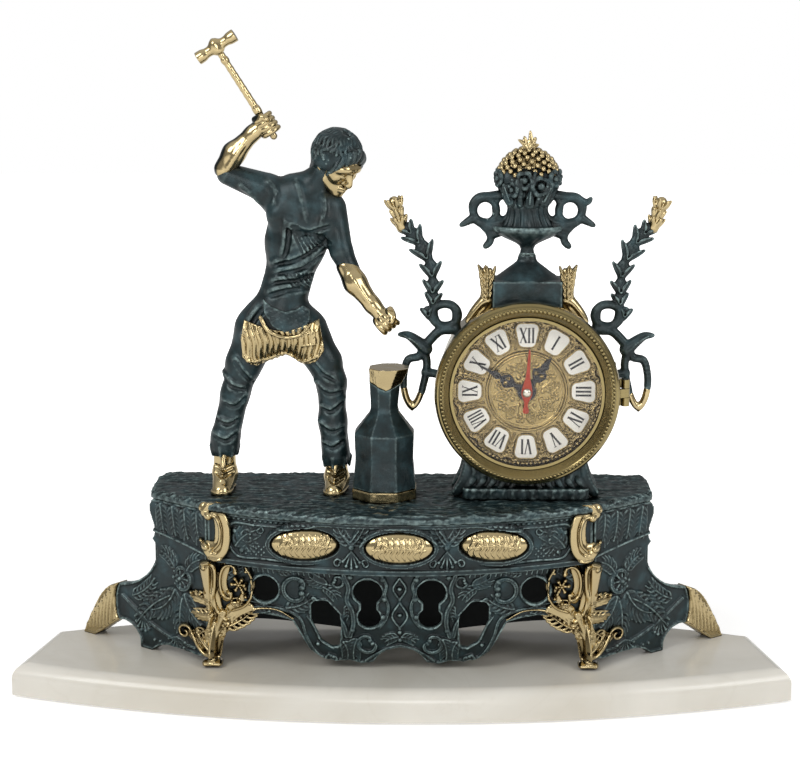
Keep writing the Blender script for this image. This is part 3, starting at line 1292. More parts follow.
BODY_NODES = ["figure_torso"] + [
    "figure_" + limb + side for limb in ("leg", "upper_arm") for side in ("_right", "_left")
]
cast_piece("smith_body", smith, PATINA, "patina", BODY_NODES)

# %% [markdown]
# The leather apron is a sheet over the hips. Its pleats hang from a curved waistband, and the hem waves.

# %% Apron
def polygon_depth(points, x, z):
    """Signed distance from the outline in the front view: negative inside."""
    nearest = np.full(np.broadcast(x, z).shape, 1e9)
    inside = np.zeros(nearest.shape, bool)
    for (x0, z0), (x1, z1) in zip(points, points[1:] + points[:1]):
        dx, dz = x1 - x0, z1 - z0
        along = np.clip(((x - x0) * dx + (z - z0) * dz) / (dx**2 + dz**2), 0, 1)
        nearest = np.minimum(nearest, np.hypot(x - x0 - along * dx, z - z0 - along * dz))
        if dz:
            inside ^= ((z0 > z) != (z1 > z)) & (x < dx * (z - z0) / dz + x0)
    return np.where(inside, -nearest, nearest)


def sheet_over(form, outline, low, high, thick, relief):
    """A sheet on the front of the clay inside an outline, with relief given as height by place."""
    part, (x, y, z) = block(form, low, high)
    axes = [axis[cut] for axis, cut in zip(form["axes"], part)]
    value = form["value"][part] - thick - relief(x, z)
    value = np.maximum(value, -(form["value"][part] + 2.0))
    value = np.maximum(value, polygon_depth(outline, x, z).astype(np.float32))
    value = np.maximum(value, y - 1.0)
    return {"axes": axes, "cell": form["cell"], "value": value.astype(np.float32)}


SKIRT = [
    (-91, 224), (-93, 212), (-92, 202), (-88, 198), (-84, 196.5), (-78, 198.5), (-73, 199.5),
    (-67, 202.5), (-62, 200), (-58, 197), (-54, 197.5), (-49, 199.5), (-44.5, 206), (-47.5, 224),
    (-56, 221), (-66, 217.5), (-76, 219),
]


def pleats(x, z):
    """Sharp vertical pleats that fan a little towards the hem."""
    across = (x + 67) * (1 - 0.006 * (z - 196)) + 0.6 * np.sin(z * 0.35)
    return 1.15 * np.abs(np.sin(across * 1.02)) + 0.35 * np.abs(np.sin(across * 2.7 + z * 0.1))


SKIRT_LOW, SKIRT_HIGH = (-98, -24, 190), (-36, 4, 232)
hips = clay(SKIRT_LOW, SKIRT_HIGH, 0.4)
for rod in TORSO + LEGS:
    press(hips, *rod)
skirt = sheet_over(hips, SKIRT, SKIRT_LOW, SKIRT_HIGH, 1.0, pleats)
hem = [(-90, 203), (-88, 199.5), (-78, 200.5), (-67, 203.8), (-58, 199), (-48.5, 202.5)]
fold(skirt, hem, 1.0, 0.8, blend=0.5, sink=0.0)
pocket = [(-57, 216), (-50, 217), (-50, 210), (-57, 209)]
for start, end in ((0, 1), (3, 2), (0, 3), (1, 2)):
    fold(skirt, [pocket[start], pocket[end]], 0.6, 0.6, blend=0.4, sink=0.0)
cast_piece("leather_apron", skirt, GILT, "gilt", ["figure_apron"])

# %% [markdown]
# A dark flap of the same leather is turned down over the waistband, with a bright roll along its edge.

# %% Flap and roll of the apron
WAIST = [
    (-80, 236), (-79, 228), (-74, 220), (-66, 216), (-58, 217.5), (-52.5, 223), (-53, 229), (-57, 232),
    (-61, 230), (-67, 229), (-75, 232),
]


def creases(x, z):
    """The fine crossed creases of thick leather."""
    return 0.35 * np.abs(np.sin(x * 0.9 + z * 1.3)) * np.abs(np.cos(x * 0.5 - z))


waist_flap = sheet_over(plain_body, WAIST, (-86, -26, 208), (-44, 4, 242), 1.7, creases)
cast_piece("apron_flap", waist_flap, PATINA, "patina")
band = {**plain_body, "value": np.full_like(plain_body["value"], EMPTY_MM)}
edge = [(-81, 226), (-77, 219), (-71, 215.3), (-65, 214.2), (-58, 216), (-52, 222)]
edge_line = [(x, surface_y(plain_body, x, z) - 3.0, z) for x, z in edge]
rope(band, edge_line, 1.3, 0.8, 0.6)
cast_piece("apron_hem_roll", band, GILT, "gilt")


# %% [markdown]
# ## Head and face
# The head bends towards the anvil. The face is a plain, calm one: brow, closed lids, a straight nose and a
# resting mouth, the same on both sides. Wavy locks run down from the crown and curl round the face.

# %% Face
HEAD_TURN = (
    Matrix.Translation((-37.5, -2.0, 313.5))
    @ Matrix.Rotation(math.radians(48), 4, "Z")
    @ Matrix.Rotation(math.radians(34), 4, "X")
    @ Matrix.Scale(1.10, 4)
)


def both_sides(function, form, start, end, *sizes, **choices):
    """The same form on the left and the right."""
    for side in (-1, 1):
        function(form, (side * start[0], *start[1:]), (side * end[0], *end[1:]), *sizes, **choices)


face = clay((-15, -19, -18), (15, 14, 17), 0.3)
egg(face, (0, 0.5, 3.0), (10.6, 12.4, 11.6))
press(face, (0, -2.5, 1.0), (0, -5.0, -6.0), 8.8, 6.4, 3.0)
press(face, (0, -8.0, -10.0), (0, -8.6, -12.0), 3.6, 2.9, 3.0)
both_sides(press, face, (6.6, -2.5, -6.5), (1.5, -8.2, -11.6), 3.2, 2.6, blend=3.0)
both_sides(press, face, (5.4, -7.6, -2.0), (6.4, -6.2, -1.0), 3.0, 2.8, blend=2.5)
brow = [(-7.2, -8.0, 3.2), (-3.6, -10.6, 4.3), (0, -10.8, 3.8), (3.6, -10.6, 4.3), (7.2, -8.0, 3.2)]
rope(face, brow, 1.5, 1.5, 2.0)
both_sides(press, face, (3.4, -13.2, 1.0), (4.6, -12.8, 0.9), 1.7, 1.5, blend=1.8, cut=True)
both_sides(press, face, (3.5, -9.6, 0.9), (4.3, -9.3, 0.8), 1.9, 1.8, blend=0.6)
for side in (-1, 1):
    lid = [
        (side * 1.7, -10.9, 0.3), (side * 3.2, -11.4, -0.4), (side * 5.0, -10.9, -0.2),
        (side * 6.2, -9.6, 0.5)
    ]
    rope(face, lid, 0.40, 0.30, 0.4)
    hair_of_brow = [(side * 1.4, -11.9, 3.7), (side * 3.6, -12.0, 4.9), (side * 6.2, -10.2, 4.4)]
    rope(face, hair_of_brow, 0.62, 0.35, 0.5)
    press(face, (side * 1.3, -12.0, -3.9), (side * 1.5, -11.2, -4.1), 0.95, 0.8, 0.9)
    press(face, (side * 0.8, -12.7, -4.9), (side * 0.9, -12.3, -4.9), 0.3, blend=0.3, cut=True)
    ear = [
        (side * 10.3, 0.2, 3.2), (side * 11.3, 1.6, 2.0), (side * 11.2, 1.6, -0.6), (side * 10.2, 0.0, -2.8)
    ]
    rope(face, ear, 1.1, 0.8, 0.8)
rope(face, [(0, -11.2, 3.2), (0, -12.3, 0.0), (0, -13.7, -3.2), (0, -13.3, -4.1)], 1.1, 1.25, 1.4)
upper_lip = [
    (-2.9, -10.7, -7.5), (-1.0, -12.3, -6.9), (0, -12.3, -7.2), (1.0, -12.3, -6.9), (2.9, -10.7, -7.5)
]
rope(face, upper_lip, 0.8, 0.8, 0.7)
rope(face, [(-2.2, -10.7, -8.6), (0, -12.0, -9.0), (2.2, -10.7, -8.6)], 0.9, 0.9, 0.8)
rope(face, [(-3.0, -11.8, -7.9), (0, -13.4, -8.0), (3.0, -11.8, -7.9)], 0.32, 0.32, 0.3, cut=True)
cast_piece("smith_face", face, GILT, "gilt", ["figure_face"], turn=HEAD_TURN)

# %% [markdown]
# The hair is short and wavy. A cap is pressed first and hollowed for the face, then strands run down from
# the crown, shorter in front, and a row of locks curls along the forehead and the temples.

# %% Hair
STRANDS, LOCKS = 34, 13
CROWN = (0, 2.0, 4.4)
hair = clay((-17, -16, -16), (17, 18, 22), 0.35)
egg(hair, CROWN, (12.2, 13.4, 12.6))
press(hair, (0, 6, -2), (0, 7, -9), 9.0, 6.5, 4.0)
for side in (-1, 1):
    press(hair, (side * 8.5, 3, 0), (side * 7.5, 5, -6), 4.0, 3.0, 3.0)
egg(hair, (0, -14.5, -5.0), (10.6, 10.5, 13.0), 1.0, cut=True)
for strand in range(STRANDS):
    around = 2 * math.pi * strand / STRANDS
    points = []
    for step in range(9):
        down = math.radians(14 + 12.5 * step)
        turn = around + 0.16 * math.sin(2.1 * step + strand)
        x, y = 12.6 * math.sin(down) * math.sin(turn), CROWN[1] - 13.8 * math.sin(down) * math.cos(turn)
        points.append((x, y, CROWN[2] + 13.0 * math.cos(down)))
    length = 5 if math.cos(around) > 0.25 else 7 if math.cos(around) > -0.2 else 9
    rope(hair, points[:length], 1.05, 0.8, 0.5)
for lock in range(LOCKS):
    lean = math.radians(-112 + 224 * lock / (LOCKS - 1))
    x, z = 9.9 * math.sin(lean), -0.3 + 10.6 * math.cos(lean)
    y = CROWN[1] - 13.0 * math.sqrt(max(0.05, 1 - (x / 12.6) ** 2 - ((z - CROWN[2]) / 13.2) ** 2))
    sway = 1.2 * math.sin(1.9 * lock)
    strand_line = [
        (x * 0.72, y - 0.2, z + 4.6), (x * 0.92 + sway * 0.4, y - 1.3, z + 1.8), (x + sway, y - 0.9, z - 1.2),
        (x * 1.02 + sway * 1.6, y + 0.2, z - 2.6),
    ]
    rope(hair, strand_line, 1.7, 0.6, 0.5)
    rope(hair, [(px + 1.1, py - 0.5, pz + 0.4) for px, py, pz in strand_line], 0.8, 0.4, 0.3)
cast_piece("smith_hair", hair, PATINA, "patina", ("figure_head",), turn=HEAD_TURN)

# %% [markdown]
# ## Arms, fists, boots and hammer
# Both forearms are bare and bright. The raised fist closes round the shaft, and the lower one is held over
# the anvil. A fist is a palm, four ropes that wrap round one axis, and a thumb across them.

# %% Fists and forearms
def fist(form, middle, axis, wrist, reach, thick):
    """A closed hand: palm, four fingers that wrap round an axis, and the thumb over them."""
    axis = Vector(axis).normalized()
    middle, wrist = Vector(middle), Vector(wrist)
    back = (wrist - middle).normalized()
    back = (back - axis * back.dot(axis)).normalized()
    side = axis.cross(back)
    if side.y > 0:
        side = -side
    press(form, middle + back * 1.6 - axis * 1.8, middle + back * 1.6 + axis * 1.8, reach * 0.92, blend=1.5)
    for finger in range(4):
        shift = axis * (finger - 1.5) * thick * 1.75
        curve = []
        for step in range(7):
            angle = math.radians(10 + 33 * step)
            curve.append(tuple(middle + shift + (back * math.cos(angle) + side * math.sin(angle)) * reach))
        rope(form, curve, thick, thick * 0.8, 0.35, steps=3)
    thumb = [
        middle + back * reach * 0.9 + axis * thick * 3.4,
        middle + side * reach * 0.95 + axis * thick * 3.2,
        middle + side * reach * 1.25 - back * reach * 0.5 + axis * thick * 1.6,
    ]
    rope(form, [tuple(place) for place in thumb], thick * 1.15, thick * 0.8, 0.6)


RIGHT_WRIST = (-85.0, -6.0, 331.0)
LEFT_WRIST = (-16.5, -12.0, 233.0)
right_arm = clay((-113, -18, 300), (-62, 10, 352), 0.4)
press(right_arm, (-101.5, -3.0, 310.5), (-96.0, -4.2, 319.5), 6.2, 6.4, 3.0)
press(right_arm, (-96.0, -4.2, 319.5), RIGHT_WRIST, 6.4, 4.3, 3.0)
press(right_arm, RIGHT_WRIST, (-80, -6.3, 335), 4.3, 4.8, 3.0)
fist(right_arm, (-76.6, -6.3, 336.2), (-0.533, -0.032, 0.846), RIGHT_WRIST, 4.7, 1.75)
rope(right_arm, [(-99, -9.0, 311), (-94.5, -10.2, 319), (-89, -9.6, 326.5)], 1.0, 0.6, 2.0)
cast_piece("raised_forearm", right_arm, GILT_TO_DARK, "gilt", ("figure_forearm_right",))

left_arm = clay((-42, -26, 208), (4, 8, 264), 0.4)
press(left_arm, (-31.5, -6.5, 254.5), (-26.5, -9.0, 245.5), 6.1, 6.6, 3.0)
press(left_arm, (-26.5, -9.0, 245.5), LEFT_WRIST, 6.6, 4.6, 3.0)
press(left_arm, LEFT_WRIST, (-11.5, -13.4, 227.5), 4.6, 4.6, 3.0)
fist(left_arm, (-8.2, -14.2, 223.6), (0.77, 0.0, 0.62), LEFT_WRIST, 4.6, 1.75)
rope(left_arm, [(-28, -14, 250), (-23, -15.2, 242), (-18, -16.2, 235)], 1.0, 0.6, 2.0)
cast_piece("lowered_forearm", left_arm, GILT_TO_DARK, "gilt", ("figure_forearm_left",))

# %% [markdown]
# The boots are wedges with a ridge up the front and a welt round the sole. The clay is cut off flat just
# above the platform, so that the soles stand on it.

# %% Boots
BOOT_FLOOR_MM = 120.0
WELT_TOP_MM = 122.2


def boot(name, x, top, node):
    """A boot from the cuff to a flat sole."""
    form = clay((x - 12, -24, 118), (x + 12, 12, top + 4), 0.4)
    ankle = BOOT_FLOOR_MM + (top - BOOT_FLOOR_MM) * 0.42
    press(form, (x, 0, top), (x, -0.5, ankle), 6.3, 6.9, 3.0)
    press(form, (x, -1, ankle - 2), (x - 1, -13.0, 121.5), 7.2, 5.6, 3.0)
    press(form, (x, 2.0, 122), (x, 1.0, ankle), 5.6, 6.2, 3.0)
    press(form, (x, -5.6, top - 2), (x - 0.6, -12.5, 128), 1.6, 1.0, 2.5)
    for z in (ankle, ankle + 3.2):
        fold(form, [(x - 5, z + 1.5), (x, z), (x + 5, z + 1.5)], 0.7, 0.5, cut=True, sink=0.0, blend=1.5)
    z = form["axes"][2][None, None, :]
    form["value"] = np.minimum(form["value"], np.maximum(form["value"] - 0.7, z - WELT_TOP_MM))
    form["value"] = np.maximum(form["value"], BOOT_FLOOR_MM + 0.05 - z)
    cast_piece(name, form, GILT, "gilt", (node,))


boot("raised_side_boot", -104.8, 144.5, "figure_boot_right")
boot("anvil_side_boot", -38.4, 138.0, "figure_boot_left")

# %% [markdown]
# The hammer is a double-faced one: a turned head with two collars, a short nub where the shaft comes
# through, and a straight shaft with rings near the grip. The faces are cut flat with a plane.

# %% Hammer
GRIP = Vector((-73.1, -6.1, 330.0))
HAMMER_TOP = Vector((-104.6, -8.0, 380.0))
shaft = (HAMMER_TOP - GRIP).normalized()
across_head = Vector((0, 1, 0)).cross(shaft).normalized()
tool = clay((-126, -15, 362), (-86, 0, 390.5), 0.3)
press(tool, HAMMER_TOP - across_head * 9.5, HAMMER_TOP + across_head * 9.5, 2.9, 2.9, 1.0)
for side in (-1, 1):
    for place, size in ((12.2, 3.7), (9.6, 3.6)):
        spot = HAMMER_TOP + across_head * side * place
        press(tool, spot - across_head * 0.2, spot + across_head * 0.2, size, size, 0.8)
    end = HAMMER_TOP + across_head * side * 12.6
    x, y, z = np.meshgrid(*tool["axes"], indexing="ij", sparse=True)
    plane = ((x - end.x) * across_head.x + (y - end.y) * across_head.y + (z - end.z) * across_head.z) * side
    tool["value"] = np.maximum(tool["value"], plane)
press(tool, HAMMER_TOP - shaft * 1.6, HAMMER_TOP + shaft * 1.6, 3.6, 3.6, 1.5)
press(tool, HAMMER_TOP + shaft * 2.0, HAMMER_TOP + shaft * 4.0, 1.7, 1.4, 0.4)
cast_piece("hammer_double_face", tool, GILT, "gilt", ("hammer_head",))
haft = clay((-106, -13, 324), (-68, -1, 380), 0.4)
haft_line = [tuple(GRIP + shaft * run) for run in (-0.5, 22, 40)] + [tuple(HAMMER_TOP - shaft)]
rope(haft, haft_line, 2.1, 1.9, 0.5)
for ring in (16.0, 17.6, 50.0):
    press(haft, GRIP + shaft * ring, GRIP + shaft * (ring + 0.4), 2.5, 2.5, 0.4)
cast_piece("hammer_shaft", haft, GILT, "gilt", ("hammer_handle",))


# %% [markdown]
# ## Castings with a worked skin
# The platform, the anvil, the foot of the drum and the pediment keep the form of their solids, but a
# cast and hand-rubbed edge is never sharp. Each solid is turned into a fine even mesh and softened, and
# then the skin is worked: long ridges on the platform, uneven filing on the anvil, ribs on the drum's foot.

# %% Worked copies
def worked_copy(name, node, cell_mm, material, slot, work, soften=3):
    """A fine, softened copy of a CAD piece; work gives how far each corner moves along its normal, in mm."""
    source = frame["nodes"][node]
    probe = bpy.data.objects.new("probe", source.data.copy())
    bpy.context.scene.collection.objects.link(probe)
    remesh = probe.modifiers.new("even", "REMESH")
    remesh.mode, remesh.voxel_size, remesh.adaptivity = "VOXEL", cell_mm * MM, 0.0
    smooth = probe.modifiers.new("soft", "SMOOTH")
    smooth.factor, smooth.iterations = 0.5, soften
    mesh = bpy.data.meshes.new_from_object(probe.evaluated_get(bpy.context.evaluated_depsgraph_get()))
    bpy.data.objects.remove(probe)
    moved = [vertex.co + vertex.normal * work(vertex.co / MM, vertex.normal) * MM for vertex in mesh.vertices]
    mesh.vertices.foreach_set("co", np.array(moved, np.float32).ravel())
    mesh.update()
    mesh.name = name
    mesh.materials.clear()
    mesh.materials.append(material)
    mesh.shade_smooth()
    place_object(name, mesh, "case", slot, [node])


def ground(place, normal):
    """Trodden ground: long ridges like the grain of a log, deeper away from the pieces that stand on it."""
    if normal.z < 0.5:
        return 0.25 * noise.noise(place * 0.35)
    stretched = Vector((place.x * 0.03, place.y * 0.30, 0.0))
    ridges = 1 - abs(noise.fractal(stretched, 0.9, 2.2, 4)) * 2.4
    rough = noise.fractal(place * 0.16, 1.0, 2.0, 3)
    return -0.85 + 1.35 * max(ridges, 0) + 0.5 * rough


def hammered(place, normal):
    """A little unevenness from filing by hand."""
    return 0.16 * noise.noise(place * 0.22) + 0.05 * noise.noise(place * 0.9)


def root_work(place, normal):
    """The foot of the drum as rough leaf work."""
    ribs = abs(math.sin(place.x * 0.55 + 1.2 * noise.noise(place * 0.12)))
    return -0.3 + 0.75 * ribs * abs(normal.y) + 0.25 * noise.noise(place * 0.5)


worked_copy("ground", "platform_top", 1.1, PATINA, "patina", ground, 2)
worked_copy("anvil_body", "anvil_block", 0.6, PATINA, "patina", hammered, 3)
worked_copy("anvil_top", "anvil_face", 0.5, GILT, "gilt", hammered, 2)
worked_copy("anvil_foot", "anvil_base_band", 0.6, GILT, "gilt", hammered, 2)
worked_copy("drum_support", "drum_foot", 0.7, PATINA, "patina", root_work, 3)
worked_copy("pediment", "pediment_block", 0.6, PATINA, "patina", hammered, 3)

# %% [markdown]
# Broad leaves lean against the foot of the drum. They are ropes that taper to their tips, cut off where
# they would sink into the platform, and at each end a pair flares outwards.

# %% Leaves on the foot of the drum
CASE_X_MM, CASE_Z_MM = 73.0, 183.5
PLATFORM_TOP_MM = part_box("platform_top")[1].z / MM
support = clay((28, -24, 118), (118, 12, 146), 0.5)
for side in (-1, 1):
    for step in range(5):
        x = CASE_X_MM + side * (7 + 6.2 * step)
        tip = (x + side * (3.5 + 0.8 * step), -20.5 + 0.6 * step, 122.5)
        rope(support, [(x - side * 2.0, -16.5, 134.0 - 0.2 * step), (x, -19.5, 129), tip], 2.4, 1.1, 1.0, 0.8)
    for back in (0, 1):
        flare_shape = ((33, -16, 139), (35.5, -17, 131), (40.5, -16.5, 122.5))
        flare = [(CASE_X_MM + side * out, y + 20 * back, z) for out, y, z in flare_shape]
        rope(support, flare, 3.4, 2.6, 1.5)
        rope(support, [(x + side * 1.4, y - 2.2, z + 1.0) for x, y, z in flare], 1.2, 0.8, 0.6)
support["value"] = np.maximum(support["value"], PLATFORM_TOP_MM + 0.2 - support["axes"][2][None, None, :])
cast_piece("drum_support_leaves", support, PATINA, "patina")

# %% [markdown]
# ## Dial
# The dial is pressed brass. Twelve enamel plaques sit in thin rims and carry painted Roman numerals that
# all stand with their heads outwards. Between the plaques and on the medallion the brass is embossed with
# small leaves. All letters are strokes, thick and thin as a brush would draw them.

# %% Tubes, prisms and places on the dial
def case_ring(radius, count):
    """Evenly spaced places round the axis of the case."""
    return list(zip(*on_circle((CASE_X_MM, CASE_Z_MM), radius, np.linspace(0, 2 * math.pi, count + 1)[:-1])))


def ring_faces(rows, sides, closed=False):
    """The four-sided faces between rows of corners, each row closed in itself."""
    faces = []
    for row in range(rows if closed else rows - 1):
        start, after_row = row * sides, (row + 1) % rows * sides
        for side in range(sides):
            after = (side + 1) % sides
            faces.append([start + side, start + after, after_row + after, after_row + side])
    return faces


def gather(parts):
    """Join lists of corners and faces."""
    corners, faces = [], []
    for part_corners, part_faces in parts:
        start = len(corners)
        corners.extend(part_corners)
        faces.extend([start + index for index in face] for face in part_faces)
    return corners, faces


def ring_tube(points, radius, sides=8):
    """A closed round tube along a flat ring of points in the front view."""
    rows = [np.array(point, float) for point in points]
    corners = []
    for index, place in enumerate(rows):
        ahead = rows[(index + 1) % len(rows)] - rows[index - 1]
        ahead /= np.linalg.norm(ahead)
        out = np.cross(ahead, (0, 1, 0))
        for side in range(sides):
            angle = 2 * math.pi * side / sides
            spoke = math.cos(angle) * out + math.sin(angle) * np.array((0, 1, 0))
            corners.append(tuple(place + radius * spoke))
    return corners, [face[::-1] for face in ring_faces(len(rows), sides, closed=True)]


def prism(outline, front, back):
    """A flat form in the front view, with thickness."""
    count = len(outline)
    corners = [(x, front, z) for x, z in outline] + [(x, back, z) for x, z in outline]
    faces = [list(range(count)), list(range(2 * count - 1, count - 1, -1))]
    faces += [
        [index + count, (index + 1) % count + count, (index + 1) % count, index] for index in range(count)
    ]
    return corners, faces


def on_dial(hour, across, out):
    """A place on the dial: across and outwards, at an hour."""
    angle = math.radians(30 * hour)
    return (
        CASE_X_MM + out * math.sin(angle) + across * math.cos(angle),
        CASE_Z_MM + out * math.cos(angle) - across * math.sin(angle),
    )


print("three o'clock on the plaques is at", [round(value, 1) for value in on_dial(3, 0, 33)])

# %% [markdown]
# A Roman numeral needs three letters, and each letter is one or two strokes with a serif at both ends.
# Every stroke is a thin prism, which stays crisp from close by, where painted pixels would blur.

# %% Numerals
PLAQUE_FRONT_MM = -18.0
NUMERAL_MIDDLE_MM = 32.9
NUMERAL_HALF_MM = 4.3
NUMERAL_ROOM_MM = 9.0
SERIF_HALF_MM, SERIF_MM = 0.8, 0.28
PAINT_PROUD_MM, PAINT_SUNK_MM = 0.14, 0.1
STROKES = {
    "I": (2.3, [((0, -1), (0, 1), 1.15)]),
    "V": (4.4, [((-1.6, 1), (0, -1), 1.15), ((1.6, 1), (0, -1), 0.5)]),
    "X": (4.4, [((-1.6, 1), (1.6, -1), 1.15), ((1.6, 1), (-1.6, -1), 0.5)]),
}
NUMERALS = ("I", "II", "III", "IV", "V", "VI", "VII", "VIII", "IX", "X", "XI", "XII")


def bar(hour, start, end, width):
    """One stroke as a thin raised bar of paint."""
    (x0, z0), (x1, z1) = start, end
    length = math.hypot(x1 - x0, z1 - z0)
    dx, dz = (z1 - z0) / length * width / 2, -(x1 - x0) / length * width / 2
    corners = [(x0 + dx, z0 + dz), (x1 + dx, z1 + dz), (x1 - dx, z1 - dz), (x0 - dx, z0 - dz)]
    outline = [on_dial(hour, x, NUMERAL_MIDDLE_MM + z) for x, z in corners]
    return prism(outline, PLAQUE_FRONT_MM - PAINT_PROUD_MM, PLAQUE_FRONT_MM + PAINT_SUNK_MM)


parts = []
for hour, letters in enumerate(NUMERALS, start=1):
    total = sum(STROKES[letter][0] for letter in letters)
    squeeze = min(1.0, NUMERAL_ROOM_MM / total)
    across = -total / 2
    for letter in letters:
        wide, strokes = STROKES[letter]
        middle = across + wide / 2
        for (x0, z0), (x1, z1), width in strokes:
            start = ((middle + x0) * squeeze, z0 * NUMERAL_HALF_MM)
            end = ((middle + x1) * squeeze, z1 * NUMERAL_HALF_MM)
            parts.append(bar(hour, start, end, width * squeeze))
            for x, z in (start, end):
                serif = SERIF_HALF_MM * squeeze
                parts.append(bar(hour, (x - serif, z), (x + serif, z), SERIF_MM))
        across += wide
new_piece("numerals", *gather(parts), NUMERAL_BLACK, "case", "black_steel").data.shade_flat()
print("numeral strokes:", len(parts))

# %% [markdown]
# Each plaque is held by a thin rolled rim. Its outline has two wide corners towards the edge of the dial
# and two narrow ones towards the middle, and a fine tube follows it.

# %% Plaque rims
RIM_Y_MM = -17.7
RIM_MM = 0.55
PLAQUE_OUTER_HALF_MM, PLAQUE_INNER_HALF_MM = 6.9, 5.4
PLAQUE_HALF_HEIGHT_MM = 7.15
PLAQUE_CORNER_MM = 3.6
CORNER_STEPS = 5


def plaque_outline(hour):
    """The rounded outline of the rim of a plaque."""
    points = []
    for x, z, start in ((1, 1, 0), (-1, 1, 90), (-1, -1, 180), (1, -1, 270)):
        half = PLAQUE_OUTER_HALF_MM if z > 0 else PLAQUE_INNER_HALF_MM
        up = NUMERAL_MIDDLE_MM + z * (PLAQUE_HALF_HEIGHT_MM - PLAQUE_CORNER_MM)
        for step in range(CORNER_STEPS):
            angle = math.radians(start + 90 * step / (CORNER_STEPS - 1))
            points.append(on_circle((x * (half - PLAQUE_CORNER_MM), up), PLAQUE_CORNER_MM, angle))
    return [on_dial(hour, x, z) for x, z in points]


rims = [ring_tube([(x, RIM_Y_MM, z) for x, z in plaque_outline(hour)], RIM_MM) for hour in range(12)]
new_piece("plaque_rims", *gather(rims), PRESSED_BRASS, "case", "dial_gilt")

# %% [markdown]
# A row of small beads runs round the bezel, and a bright cap covers the hub of the hands. Both are turned
# forms: a few rows of corners round an axis.

# %% Bezel beads and hub cap
def bead(place, radius, rows=5, columns=8):
    """One round bead."""
    corners = []
    for row in range(rows + 1):
        down = math.pi * row / rows
        for column in range(columns):
            x, z = on_circle((place[0], place[2]), radius * math.sin(down), 2 * math.pi * column / columns)
            corners.append((x, place[1] - radius * math.cos(down), z))
    return corners, ring_faces(rows + 1, columns)


BEAD_RING_MM, BEAD_COUNT, BEAD_Y_MM, BEAD_MM = 49.6, 132, -31.3, 1.15
beads = [bead((x, BEAD_Y_MM, z), BEAD_MM) for x, z in case_ring(BEAD_RING_MM, BEAD_COUNT)]
new_piece("bezel_beads", *gather(beads), SPUN_BRASS, "front_door", "case_gilt")

CAP_ROWS = ((2.6, -22.2), (2.7, -22.9), (2.2, -23.6), (1.2, -24.0), (0.0, -24.05))
CAP_SIDES = 24
corners = [(x, y, z) for radius, y in CAP_ROWS for x, z in case_ring(radius, CAP_SIDES)]
new_piece("hub_cap", corners, ring_faces(len(CAP_ROWS), CAP_SIDES), CAP_METAL, "second_arbor", "copper_red")

# %% [markdown]
# The second hand is stamped from thin sheet: a slender leaf, a round boss and a short tail. Its thin pin
# runs back through the pipes of the other hands.

# %% Second hand
SECOND_LEAN_DEG = 3.0
SECOND_FRONT_MM, SECOND_BACK_MM = -22.5, -22.1
PIN_END_MM, PIN_MM, PIN_SIDES = -5.0, 0.6, 16
SECOND_SHARES = (
    (0.0, 25.6), (0.5, 24.6), (0.75, 20.0), (1.0, 13.0), (1.5, 8.0), (2.5, 4.2), (3.1, 1.2),
    (3.1, -1.2), (2.2, -3.6), (1.2, -5.2), (1.0, -8.0), (1.8, -10.2), (1.5, -11.9), (0.0, -12.4),
)


def second_outline():
    """A slender leaf with a round boss and a short tail, turned to where it points."""
    lean = math.radians(SECOND_LEAN_DEG)
    around = list(SECOND_SHARES) + [(-x, z) for x, z in SECOND_SHARES[-2:0:-1]]
    points = []
    for x, z in around:
        turned_x, turned_z = x * math.cos(lean) + z * math.sin(lean), z * math.cos(lean) - x * math.sin(lean)
        points.append((CASE_X_MM + turned_x, CASE_Z_MM + turned_z))
    return points


blade = prism(second_outline(), SECOND_FRONT_MM, SECOND_BACK_MM)
pin = prism(case_ring(PIN_MM, PIN_SIDES), SECOND_BACK_MM, PIN_END_MM)
second_blade = new_piece(
    "second_blade", *gather([blade, pin]), SECOND_RED, "second_arbor", "copper_red", ["second_hand"]
)
second_blade.data.shade_flat()

# %% [markdown]
# The brass between the plaques is pressed with palmettes and scrolls, and the medallion in the middle is a
# wreath of blossoms. Both are low relief on a flat plate, so they use the height maps again.

# %% Embossed brass
def emboss_dial(relief):
    """A palmette between each pair of plaques and a border of dots."""
    for hour in range(12):
        middle = hour + 0.5
        leaf(relief, on_dial(middle, 0, 41.0), on_dial(middle, 0, 27.0), 1.0, 3.0, 1.1, 4)
        for lean in (-1, 1):
            for out, reach in ((40.5, 3.6), (37.0, 2.8), (41.8, 6.0)):
                steps = ((0.6, out - 1.5), (reach * 0.6, out + 0.2), (reach, out - 0.6))
                line = [on_dial(middle, lean * across, height) for across, height in steps]
                stroke(relief, line, 1.4, 0.95, taper=0.5)
        dots(relief, [on_dial(middle, 0, 26.2)], 1.7, 1.0)
    dots(relief, case_ring(43.6, 109), 1.2, 0.8)


